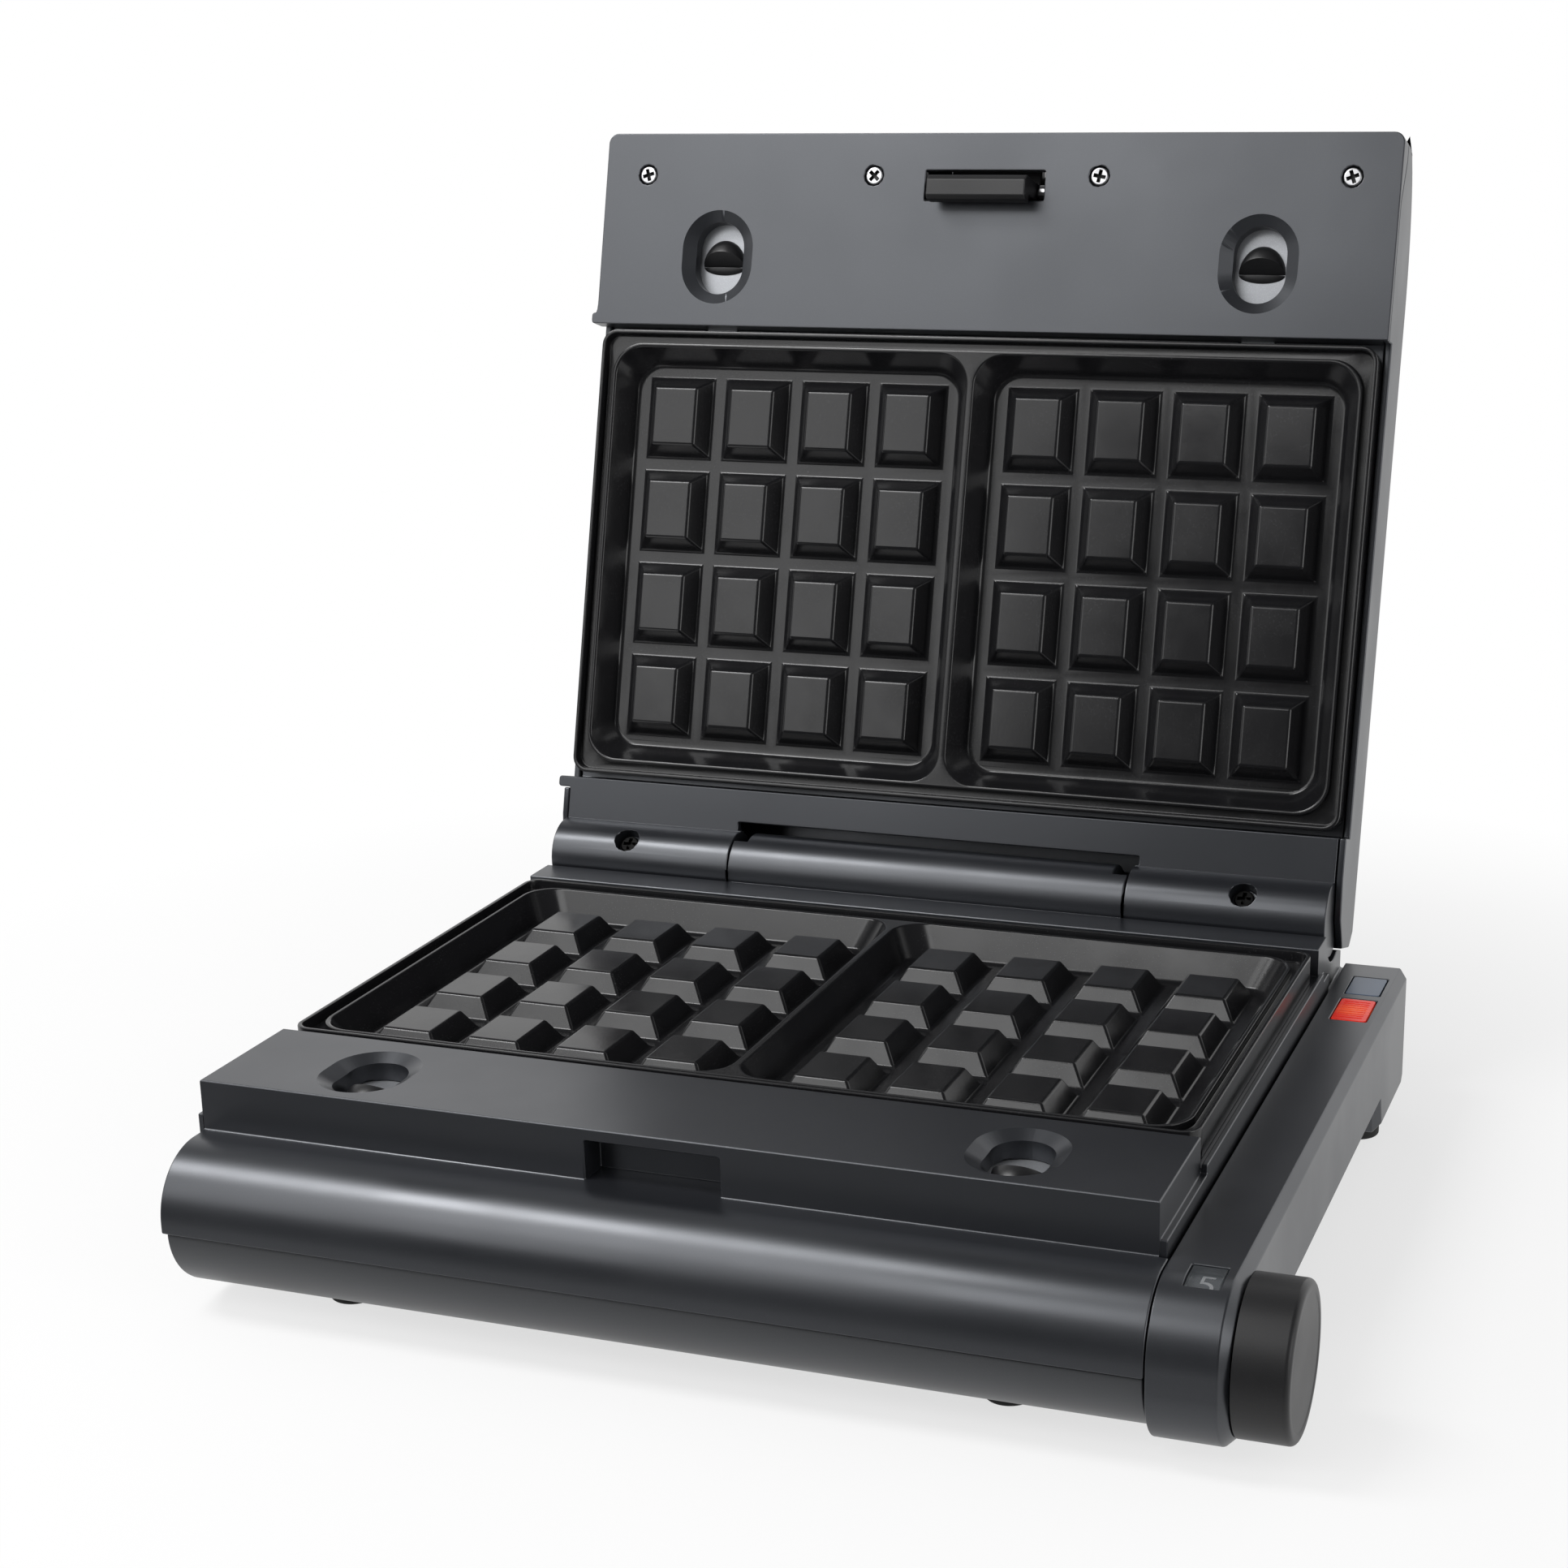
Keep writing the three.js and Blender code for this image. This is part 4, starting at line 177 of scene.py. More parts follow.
def block(low, high):
    obj = fresh(bpy.ops.mesh.primitive_cube_add, size=1)
    obj.location = [(a + b) / 2 for a, b in zip(low, high)]
    return set_scale(obj, [b - a for a, b in zip(low, high)])


TURNS = {"X": (0, math.pi / 2, 0), "Z": (0, 0, 0)}


def rod(centre, radius, length, axis, sides):
    return fresh(
        bpy.ops.mesh.primitive_cylinder_add, vertices=sides, radius=radius, depth=length, location=centre,
        rotation=TURNS[axis],
    )


def pick(obj, kind, test):
    """In edit mode, selects only the corners, edges or faces that pass a test."""
    modes = {"verts": (True, False, False), "edges": (False, True, False), "faces": (False, False, True)}
    bpy.context.tool_settings.mesh_select_mode = modes[kind]
    bpy.ops.mesh.select_all(action="DESELECT")
    mesh = bmesh.from_edit_mesh(obj.data)
    for element in getattr(mesh, kind):
        if test(element):
            element.select_set(True)
    mesh.select_flush_mode()
    bmesh.update_edit_mesh(obj.data)


def pick_all():
    bpy.ops.mesh.select_all(action="SELECT")


def edges_between(axis, low=-math.inf, high=math.inf, is_open=False):
    """A test for the edges that lie between two heights on an axis, or only for the open ones among them."""
    return lambda edge: (edge.is_boundary or not is_open) and all(
        low - NEAR < v.co[axis] < high + NEAR for v in edge.verts
    )


def corner_angle(edge):
    return edge.calc_face_angle(0) if len(edge.link_faces) == 2 else 0


def inset(width, depth=0):
    bpy.ops.mesh.inset(thickness=width, depth=depth)


def bevel_edges(obj, test, width, segments):
    pick(obj, "edges", test)
    bpy.ops.mesh.bevel(offset=width, segments=segments, affect="EDGES")


def draw_wall(rise):
    """In edit mode, draws a wall straight up or down from the selected edges."""
    bpy.ops.mesh.extrude_edges_move(TRANSFORM_OT_translate={"value": (0, 0, rise)})


def shrink(x, y, height):
    """In edit mode, draws what is selected together towards the Z axis, by shares of its width and length."""
    bpy.ops.transform.resize(value=(1 - x, 1 - y, 1), center_override=(0, 0, height))


def modify(obj, kind, **settings):
    activate(obj)
    modifier = obj.modifiers.new(kind.title(), kind)
    for name, value in settings.items():
        setattr(modifier, name, value)
    bpy.ops.object.modifier_apply(modifier=modifier.name)
    return obj


def combine(obj, other, operation):
    modify(obj, "BOOLEAN", operation=operation, object=other, solver="EXACT")
    bpy.data.objects.remove(other)


def cut(obj, other):
    combine(obj, other, "DIFFERENCE")


def add_to(obj, other):
    combine(obj, other, "UNION")


def join(objects):
    activate(objects[0])
    for obj in objects[1:]:
        obj.select_set(True)
    bpy.ops.object.join()
    return objects[0]


def round_edges(obj, width, segments=3, angle=30):
    return modify(
        obj, "BEVEL", width=width, segments=segments, limit_method="ANGLE", angle_limit=math.radians(angle),
        use_clamp_overlap=True, miter_outer="MITER_ARC",
    )


def copied(obj, matrix=None):
    twin = obj.copy()
    twin.data = obj.data.copy()
    bpy.context.scene.collection.objects.link(twin)
    if matrix is not None:
        twin.data.transform(matrix)
    return twin


def finish(obj, name, body, material, place=None, replaces=(), smooth=32, weighted=True):
    """Sets a piece into its place, shades it and says what it rides on, replaces and is finished as.

    A list of materials follows the numbers that its faces already carry.
    """
    if place is not None:
        obj.data.transform(place)
    obj.name = name
    obj.data.name = name
    activate(obj)
    bpy.ops.object.shade_smooth_by_angle(angle=math.radians(smooth))
    if weighted:
        modify(obj, "WEIGHTED_NORMAL", keep_sharp=True, weight=60)
    numbers = [face.material_index for face in obj.data.polygons]
    obj.data.materials.clear()
    for look in material if isinstance(material, list) else [material]:
        obj.data.materials.append(look)
    if isinstance(material, list):
        obj.data.polygons.foreach_set("material_index", numbers)
    if replaces:
        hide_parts(*replaces)
    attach(obj, body)


# Finishes. Each material takes its colour, gloss and height from one of three node groups.

FINISHES = {}
GROUPS = {}
GROUP_SOCKETS = {
    "INPUT": {
        "Vector": "Vector", "Colour": "Color", "Fleck": "Color", "Grain scale": "Float",
        "Roughness low": "Float", "Roughness high": "Float",
    },
    "OUTPUT": {"Colour": "Color", "Roughness": "Float", "Height": "Float"},
}
WHITE = (1, 1, 1, 1)
COOL = {"Specular Tint": (0.91, 0.94, 1.0, 1)}


def feed(tree, socket, value):
    """Gives a socket its value, or links it to another node's output."""
    if isinstance(value, bpy.types.NodeSocket):
        tree.links.new(value, socket)
    else:
        socket.default_value = value


def add_node(tree, kind, inputs, **settings):
    node = tree.nodes.new(kind)
    for name, value in settings.items():
        setattr(node, name, value)
    for name, value in inputs.items():
        feed(tree, node.inputs[name], value)
    return node


def noise(tree, vector, scale, detail=2.0, roughness=0.5):
    inputs = {"Vector": vector, "Scale": scale, "Detail": detail, "Roughness": roughness}
    return add_node(tree, "ShaderNodeTexNoise", inputs).outputs["Fac"]


def remap(tree, value, low, high, out_low=0.0, out_high=1.0):
    inputs = {"Value": value, "From Min": low, "From Max": high, "To Min": out_low, "To Max": out_high}
    return add_node(tree, "ShaderNodeMapRange", inputs).outputs["Result"]


def blend_colours(tree, share, first, second):
    return add_node(tree, "ShaderNodeMix", {0: share, 6: first, 7: second}, data_type="RGBA").outputs[2]


def combined(tree, operation, first, second):
    return add_node(tree, "ShaderNodeMath", {0: first, 1: second}, operation=operation).outputs[0]


def distance_from_origin(tree, vector):
    return add_node(tree, "ShaderNodeVectorMath", {0: vector}, operation="LENGTH").outputs["Value"]


def moulded_surface(tree, inputs):
    """Fine moulding grain and flecks, with slow drifts of gloss."""
    vector = inputs["Vector"]
    flecks = remap(tree, noise(tree, vector, 5200.0, 1.0), 0.56, 0.74, 0.0, 0.5)
    drift = noise(tree, vector, 22.0, 3.0)
    return flecks, (drift, 0.35, 0.65), noise(tree, vector, inputs["Grain scale"], 2.0, 0.6)


def sprayed_coating(tree, inputs):
    """A pebbled skin with paler specks."""
    vector = inputs["Vector"]
    cells = add_node(tree, "ShaderNodeTexVoronoi", {"Vector": vector, "Scale": 1500.0}, feature="F1")
    specks = remap(tree, cells.outputs["Distance"], 0.16, 0.05, 0.0, 0.75)
    cloud = noise(tree, vector, 60.0, 4.0, 0.55)
    flecks = combined(tree, "MULTIPLY", specks, remap(tree, cloud, 0.4, 0.7))
    pebbles = noise(tree, vector, 900.0, 3.0, 0.6)
    return flecks, (cloud, 0.3, 0.7), combined(tree, "ADD", pebbles, combined(tree, "MULTIPLY", specks, 0.4))


def rolled_metal(tree, inputs):
    """Drawn or rolled metal: fine lines one way, and stains."""
    stretch = {"Vector": inputs["Vector"], "Scale": (60.0, 2400.0, 2400.0)}
    lines = noise(tree, add_node(tree, "ShaderNodeMapping", stretch).outputs["Vector"], 1.0)
    stains = remap(tree, noise(tree, inputs["Vector"], 180.0, 3.0), 0.45, 0.75)
    return stains, (lines, 0.3, 0.7), lines


def surface_group(name, recipe):
    """The node group of a recipe, which says where flecks are, what drives the gloss, and the height."""
    if name not in GROUPS:
        group = GROUPS[name] = bpy.data.node_groups.new(name, "ShaderNodeTree")
        for way, sockets in GROUP_SOCKETS.items():
            for label, kind in sockets.items():
                group.interface.new_socket(label, in_out=way, socket_type="NodeSocket" + kind)
        inputs = group.nodes.new("NodeGroupInput").outputs
        flecks, gloss, height = recipe(group, inputs)
        add_node(group, "NodeGroupOutput", {
            "Colour": blend_colours(group, flecks, inputs["Colour"], inputs["Fleck"]),
            "Roughness": remap(group, *gloss, inputs["Roughness low"], inputs["Roughness high"]),
            "Height": height,
        })
    return GROUPS[name]


def surface(name, group, colour, fleck, low, high, grain, bump, **shader):
    """A material with colour, gloss and bump from a node group. A bump has a strength and millimetres."""
    material = bpy.data.materials.new(name)
    material.use_nodes = True
    tree = material.node_tree
    place = tree.nodes.new("ShaderNodeTexCoord").outputs["Object"]
    look = add_node(
        tree, "ShaderNodeGroup",
        {
            "Vector": place, "Colour": colour, "Fleck": fleck, "Grain scale": grain,
            "Roughness low": low, "Roughness high": high,
        },
        node_tree=group,
    ).outputs
    bumps = {"Strength": bump[0], "Distance": bump[1] * MM, "Height": look["Height"]}
    shader["Normal"] = add_node(tree, "ShaderNodeBump", bumps).outputs["Normal"]
    shader.update({"Base Color": look["Colour"], "Roughness": look["Roughness"]})
    for label, value in shader.items():
        feed(tree, tree.nodes["Principled BSDF"].inputs[label], value)
    return material


def colour4(value, gain=1.0):
    return (value[0] * gain, value[1] * gain, value[2] * gain, 1.0)


def moulded(name, colour, low, high, fleck, grain, bump, **shader):
    group = surface_group("Moulded surface", moulded_surface)
    return surface(name, group, colour4(colour), colour4(colour, fleck), low, high, grain, bump, **shader)


def metal(name, colour, stain, low, high):
    group = surface_group("Rolled metal", rolled_metal)
    return surface(
        name, group, colour4(colour), colour4(stain), low, high, 0.0, (0.15, 0.01), Metallic=1.0
    )


def finishes():
    """All materials of the object, made once."""
    if FINISHES:
        return FINISHES
    colours = bpy.context.scene.snack_maker_colours
    FINISHES.update(
        housing=moulded(
            "anthracite moulding", colours.housing, 0.30, 0.37, 2.4, 2600.0, (0.16, 0.02), IOR=1.8, **COOL
        ),
        roll=moulded("tray moulding", colours.roll, 0.30, 0.37, 2.0, 2600.0, (0.16, 0.02), IOR=1.75, **COOL),
        dark=moulded("dark moulding", colours.dark, 0.36, 0.46, 2.4, 1900.0, (0.3, 0.03), IOR=1.5),
        drum=moulded("drum moulding", (0.10, 0.108, 0.12), 0.5, 0.6, 1.2, 1900.0, (0.1, 0.02)),
        number=moulded("number print", (0.80, 0.81, 0.83), 0.5, 0.6, 1.05, 2200.0, (0.05, 0.01)),
        slide=moulded(
            "slide lacquer", (0.34, 0.35, 0.37), 0.34, 0.46, 1.7, 1500.0, (0.3, 0.04), Metallic=0.55
        ),
        coating=surface(
            "non-stick coating", surface_group("Sprayed coating", sprayed_coating), colour4(colours.coating),
            (0.16, 0.16, 0.17, 1), 0.17, 0.27, 0.0, (0.25, 0.04), IOR=1.48,
        ),
        steel=metal("bright steel", (0.50, 0.50, 0.51), (0.36, 0.36, 0.37), 0.26, 0.4),
        # Painted shade: the cross of a screw is near-black metal, standing for the shade inside it.
        recess=metal("screw recess", (0.05, 0.05, 0.05), (0.02, 0.02, 0.02), 0.5, 0.7),
        blackened=metal("blackened steel", (0.016, 0.016, 0.016), (0.008, 0.008, 0.008), 0.5, 0.7),
        pan=metal("reflector sheet", (0.60, 0.61, 0.62), (0.42, 0.42, 0.43), 0.3, 0.5),
        heater=metal("heater sheath", (0.20, 0.19, 0.18), (0.10, 0.09, 0.09), 0.4, 0.6),
        rubber=moulded("foot rubber", (0.012, 0.012, 0.012), 0.7, 0.85, 1.6, 1400.0, (0.4, 0.05)),
        board=moulded("board laminate", (0.02, 0.09, 0.035), 0.4, 0.5, 1.6, 900.0, (0.1, 0.02)),
        ceramic=moulded("steatite", (0.70, 0.68, 0.62), 0.55, 0.7, 0.9, 1500.0, (0.2, 0.03)),
        grey_lens=moulded("grey lens", colours.grey_lens, 0.22, 0.3, 1.1, 800.0, (0.02, 0.01), IOR=1.35),
        window=moulded("window glazing", (0.13, 0.14, 0.15), 0.12, 0.18, 1.1, 800.0, (0.01, 0.01), Alpha=0.3),
        red_lens=red_lens_material(colours.red_lens),
    )
    return FINISHES


LAMP_SPOT = (0.0065, 0.0015)
LAMP_COLOUR = (1.0, 0.24, 0.03, 1)
LAMP_STRENGTH = 0.35


def red_lens_material(colour):
    """A lit red lens: ribbed inside, with the lamp showing as a warmer spot."""
    material = moulded("lit red lens", colour, 0.2, 0.28, 1.05, 900.0, (0.03, 0.01), IOR=1.3)
    tree = material.node_tree
    place = next(n for n in tree.nodes if n.type == "TEX_COORD").outputs["Object"]
    centred = {"Vector": place, "Location": tuple(-middle("power_lens"))}
    place = add_node(tree, "ShaderNodeMapping", centred).outputs["Vector"]
    waves = {"Vector": place, "Scale": 120.0, "Distortion": 0.0}
    ribs = add_node(tree, "ShaderNodeTexWave", waves, bands_direction="Y").outputs["Fac"]
    spot = remap(tree, distance_from_origin(tree, place), *LAMP_SPOT)
    glow = blend_colours(tree, spot, colour4(colour), LAMP_COLOUR)
    banded = blend_colours(tree, combined(tree, "MULTIPLY", ribs, 0.4), glow, colour4(colour, 0.55))
    principled = tree.nodes["Principled BSDF"]
    feed(tree, principled.inputs["Emission Color"], banded)
    feed(tree, principled.inputs["Emission Strength"], LAMP_STRENGTH)
    return material


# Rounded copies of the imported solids. An edge is rounded where light reaches it from outside.

FLAT = math.radians(0.6)
SOLID_WELD = 0.002 * MM
LIFT = 0.05 * MM
ROOM_SHARE = 0.42
LID_CORNER_ROOM = 5.0
SHARP_RINGS = {"angle": 62, "smooth": 28}
SIDES = [
    Vector(d).normalized()
    for d in [(x, y, z) for x in (-1, 0, 1) for y in (-1, 0, 1) for z in (-1, 0, 1)]
    if any(d)
]


def room_beside(edge):
    """How far the faces beside an edge reach from it, at the narrowest of three places or at its ends."""
    room = 1.0
    way = (edge.verts[1].co - edge.verts[0].co).normalized()
    for corner in edge.verts:
        for other in corner.link_edges:
            step = other.other_vert(corner).co - corner.co
            if other != edge and corner_angle(other) > 0.1 and abs(step.normalized().dot(way)) < 0.8:
                room = min(room, step.cross(way).length)
    for face in edge.link_faces:
        loop = next(loop for loop in face.loops if loop.edge == edge)
        start = loop.vert.co
        along = loop.link_loop_next.vert.co - start
        length = along.length
        along.normalize()
        inwards = face.normal.cross(along)
        corners = [((v.co - start).dot(along), (v.co - start).dot(inwards)) for v in face.verts]
        for share in (0.25, 0.5, 0.75):
            for first, second in zip(corners, corners[1:] + corners[:1]):
                ahead, behind = second[0] - share * length, first[0] - share * length
                if ahead * behind < 0:
                    depth = (first[1] * ahead - second[1] * behind) / (ahead - behind)
                    if depth > 1e-7:
                        room = min(room, depth)
    return room


def visible_edges(obj, outwards, angle, width):
    """The sharp edges that light reaches from outside, each with the share of the width that fits there."""
    mesh = bmesh.new()
    mesh.from_mesh(obj.data)
    tree = BVHTree.FromBMesh(mesh)
    ways = [d for d in SIDES if d.dot(outwards) > -0.3]
    found = {}
    for edge in mesh.edges:
        if corner_angle(edge) < angle:
            continue
        normal = (edge.link_faces[0].normal + edge.link_faces[1].normal).normalized()
        start = (edge.verts[0].co + edge.verts[1].co) / 2 + normal * LIFT
        if any(d.dot(normal) > 0.15 and tree.ray_cast(start, d)[0] is None for d in ways):
            found[edge.index] = min(1, ROOM_SHARE * room_beside(edge) / width)
    mesh.free()
    return found


def node_copy(node):
    """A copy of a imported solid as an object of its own."""
    obj = bpy.data.objects.new(node + "_copy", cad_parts[node].data.copy())
    bpy.context.scene.collection.objects.link(obj)
    activate(obj)
    bpy.ops.mesh.customdata_custom_splitnormals_clear()
    return obj


def rounded_copy(node, outwards, width, angle=28):
    """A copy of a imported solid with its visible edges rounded."""
    obj = node_copy(node)
    edit(obj)
    pick_all()
    bpy.ops.mesh.remove_doubles(threshold=SOLID_WELD)
    bpy.ops.mesh.beautify_fill(angle_limit=FLAT)
    bpy.ops.mesh.dissolve_limited(angle_limit=FLAT)
    leave_edit()
    chosen = visible_edges(obj, Vector(outwards), math.radians(angle), width * MM)
    weights = obj.data.attributes.new("bevel_weight_edge", "FLOAT", "EDGE")
    for index, share in chosen.items():
        weights.data[index].value = share
    return modify(
        obj, "BEVEL", width=width * MM, segments=3, limit_method="WEIGHT", use_clamp_overlap=False,
        loop_slide=False, miter_outer="MITER_ARC",
    )


def slice_across(obj, inset_mm):
    """Cuts a shell's long faces near its left and right ends, so that its corners don't shade its middle."""
    ends = [corner[X] for corner in obj.bound_box]
    edit(obj)
    for place in (min(ends) + inset_mm * MM, max(ends) - inset_mm * MM):
        pick_all()
        bpy.ops.mesh.bisect(plane_co=(place, 0, 0), plane_no=(1, 0, 0))
    leave_edit()
    return obj


def rounded_piece(node, name, outwards, width, body, slot, look, angle=28, smooth=32):
    obj = rounded_copy(node, outwards, width, angle)
    finish(obj, name, body, finishes()[look], replaces=[node], smooth=smooth)


class SNACK_OT_base_shells(bpy.types.Operator):
    """Round the edges of the base housing and its tray"""

    bl_idname = "snack.base_shells"
    bl_label = "Base shells"

    def execute(self, context):
        width = context.scene.snack_maker_sizes.shell_edge
        rounded_piece(
            "base_housing", "housing", (0, 0, 1), width, "base", "anthracite_plastic", "housing",
            **SHARP_RINGS
        )
        rounded_piece("base_tray", "tray", (0, 0, -1), width, "base", "roll_plastic", "roll")
        return {"FINISHED"}


class SNACK_OT_control_arm(bpy.types.Operator):
    """Round the edges of the control arm and its cover"""

    bl_idname = "snack.control_arm"
    bl_label = "Control arm"

    def execute(self, context):
        width = context.scene.snack_maker_sizes.shell_edge
        rounded_piece(
            "control_arm", "arm", (0.5, -0.3, 0.8), width * 0.7, "base", "anthracite_plastic", "housing"
        )
        rounded_piece("control_arm_bottom", "arm_bottom", (0, 0, -1), 0.25, "base", "dark_plastic", "dark")
        return {"FINISHED"}


class SNACK_OT_lid_shells(bpy.types.Operator):
    """Round the edges of the lid frame and the lid cover"""

    bl_idname = "snack.lid_shells"
    bl_label = "Lid shells"

    def execute(self, context):
        width = context.scene.snack_maker_sizes.shell_edge
        inwards = LID.to_3x3().normalized() @ Vector((0, 0, -1))
        rounded_piece(
            "lid_frame", "lid_inner", inwards, width * 0.8, "lid", "anthracite_plastic", "housing",
            **SHARP_RINGS
        )
        outer = slice_across(rounded_copy("lid_cover", -inwards, width), LID_CORNER_ROOM)
        finish(
            outer, "lid_outer", "lid", finishes()["housing"], replaces=["lid_cover"]
        )
        return {"FINISHED"}


class SNACK_OT_latch(bpy.types.Operator):
    """Round the edges of the latch hook"""

    bl_idname = "snack.latch"
    bl_label = "Latch hook"

    def execute(self, context):
        rounded_piece("latch_hook", "hook", (0, -1, 0.3), 0.4, "latch", "dark_plastic", "dark")
        return {"FINISHED"}


class SNACK_OT_window(bpy.types.Operator):
    """Round the edges of the number window"""

    bl_idname = "snack.window"
    bl_label = "Number window"

    def execute(self, context):
        rounded_piece("dial_window", "window", (0, -0.3, 1), 0.3, "base", "grey_lens", "window")
        return {"FINISHED"}


# Cooking plates. Frame: the rim is at Z = 0, the pockets open upwards, centred on X and Y.

PLATE_SIZE = (247.8, 141.4)
PLATE_CORNER = 5.0
LIP = 1.3
GUTTER = 2.6
GUTTER_DRAFT = 0.2
GUTTER_FLOOR = -3.2
BEAD = 1.2
BEAD_TOP = -1.0
DIVIDER = 2.1
POCKET_CORNER = 9.0
POCKET_DRAFT = 4.6
POCKET_FLOOR = -9.9
POCKET_FOOT = 1.0
SKIRT_BOTTOM = -7.9
SKIRT_INSET = 5.3
PLATE_BOTTOM = -11.9
RIM_REACH = -5
STUD_PITCH = (26.0, 29.6)
STUD_GROUND = 2.28
STUD_RUN = 3.55
STUD_HEIGHT = 5.9
STUD_FIELD_CORNER = 2.6
TONGUE_CATCH = ((-5.4, -68.0, -10.7), (5.4, -64.0, -8.1))


def rounded_sheet(width, length, z, radius, segments):
    """A flat sheet with rounded corners."""
    sheet = fresh(bpy.ops.mesh.primitive_plane_add, size=1)
    set_scale(sheet, (width, length, 1))
    edit(sheet)
    pick_all()
    bpy.ops.mesh.bevel(offset=radius, segments=segments, affect="VERTICES")
    pick_all()
    bpy.ops.transform.translate(value=(0, 0, z))
    leave_edit()
    return sheet


def stud_block(edge):
    """Four by four studs, each on its own square of floor, joined into one sheet."""
    tile = fresh(bpy.ops.mesh.primitive_plane_add, size=1)
    set_scale(tile, (*STUD_PITCH, 1))
    edit(tile)
    pick_all()
    inset(STUD_GROUND)
    inset(STUD_RUN, STUD_HEIGHT)
    bevel_edges(tile, lambda e: corner_angle(e) > 0.2, edge, 3)
    pick_all()
    bpy.ops.transform.translate(value=(-1.5 * STUD_PITCH[X], -1.5 * STUD_PITCH[Y], POCKET_FLOOR))
    leave_edit()
    for axis in (X, Y):
        offset = [0, 0, 0]
        offset[axis] = STUD_PITCH[axis]
        modify(
            tile, "ARRAY", count=4, use_relative_offset=False, use_constant_offset=True,
            constant_offset_displace=offset, use_merge_vertices=True, merge_threshold=0.01,
        )
    edit(tile)
    half = (2 * STUD_PITCH[X] - 0.1, 2 * STUD_PITCH[Y] - 0.1)
    pick(tile, "verts", lambda v: abs(v.co.x) > half[X] and abs(v.co.y) > half[Y])
    bpy.ops.mesh.bevel(offset=STUD_FIELD_CORNER, segments=2, affect="VERTICES")
    leave_edit()
    return tile


def pocket(side, edge):
    """One pocket: its wall and its studded floor."""
    outer_x = PLATE_SIZE[X] / 2 - LIP - GUTTER - BEAD
    width = outer_x - DIVIDER / 2
    length = PLATE_SIZE[Y] - 2 * (LIP + GUTTER + BEAD)
    wall = rounded_sheet(width, length, BEAD_TOP, POCKET_CORNER, 12)
    edit(wall)
    pick(wall, "faces", lambda f: True)
    bpy.ops.mesh.extrude_region_move(TRANSFORM_OT_translate={"value": (0, 0, POCKET_FLOOR - BEAD_TOP)})
    shrink(2 * POCKET_DRAFT / width, 2 * POCKET_DRAFT / length, POCKET_FLOOR)
    bevel_edges(wall, edges_between(Z, high=POCKET_FLOOR), POCKET_FOOT, 4)
    pick(wall, "faces", lambda f: f.calc_area() > 3000)
    bpy.ops.mesh.delete(type="ONLY_FACE")
    leave_edit()
    both = join([wall, stud_block(edge)])
    edit(both)
    pick(both, "edges", edges_between(Z, high=POCKET_FLOOR, is_open=True))
    bpy.ops.mesh.fill(use_beauty=True)
    leave_edit()
    both.data.transform(Matrix.Translation((side * (DIVIDER / 2 + width / 2), 0, 0)))
    return both


def plate_solid(edge, rim_edge):
    """A whole plate: lip, gutter, beads, two pockets, skirt and underside."""
    width, length = PLATE_SIZE
    rim = rounded_sheet(width, length, 0, PLATE_CORNER, 8)
    edit(rim)
    pick_all()
    inset(LIP)
    inset(GUTTER_DRAFT, GUTTER_FLOOR)
    bpy.ops.mesh.delete(type="ONLY_FACE")
    pick(rim, "edges", edges_between(Z, low=0, is_open=True))
    draw_wall(SKIRT_BOTTOM)
    draw_wall(0)
    shrink(2 * SKIRT_INSET / width, 2 * SKIRT_INSET / length, SKIRT_BOTTOM)
    draw_wall(PLATE_BOTTOM - SKIRT_BOTTOM)
    bpy.ops.mesh.edge_face_add()
    leave_edit()
    field = (width - 2 * (LIP + GUTTER), length - 2 * (LIP + GUTTER))
    inner = rounded_sheet(*field, BEAD_TOP, POCKET_CORNER + 1, 12)
    edit(inner)
    pick(inner, "faces", lambda f: True)
    bpy.ops.mesh.delete(type="ONLY_FACE")
    pick(inner, "edges", lambda e: True)
    draw_wall(GUTTER_FLOOR - BEAD_TOP)
    leave_edit()
    plate = join([rim, inner, pocket(-1, edge), pocket(1, edge)])
    edit(plate)
    for height in (GUTTER_FLOOR, BEAD_TOP):
        pick(plate, "edges", edges_between(Z, height, height, is_open=True))
        bpy.ops.mesh.fill(use_beauty=True)
    pick_all()
    bpy.ops.mesh.remove_doubles(threshold=WELD)
    bpy.ops.mesh.normals_make_consistent(inside=False)
    sharp = math.radians(50)
    bevel_edges(
        plate, lambda e: corner_angle(e) > sharp and min(v.co.z for v in e.verts) > RIM_REACH, rim_edge, 2
    )
    leave_edit()
    low, high = TONGUE_CATCH
    for x in (-RELEASE_X, RELEASE_X):
        cut(plate, block((x + low[X], low[Y], low[Z]), (x + high[X], high[Y], high[Z])))
    return plate


class SNACK_OT_plates(bpy.types.Operator):
    """Model the studded cooking plate and set it into the base and the lid"""

    bl_idname = "snack.plates"
    bl_label = "Cooking plates"

    def execute(self, context):
        sizes = context.scene.snack_maker_sizes
        coating = finishes()["coating"]
        lower = plate_solid(sizes.stud_edge, sizes.plate_edge)
        upper = copied(lower)
        finish(lower, "plate_lower", "base", coating, LOWER_PLATE, ["lower_plate"])
        finish(upper, "plate_upper", "lid", coating, UPPER_PLATE, ["upper_plate"])
        return {"FINISHED"}


# Plate releases. Frame: the outer face is at Z = 0, and the plate lies towards +Y.

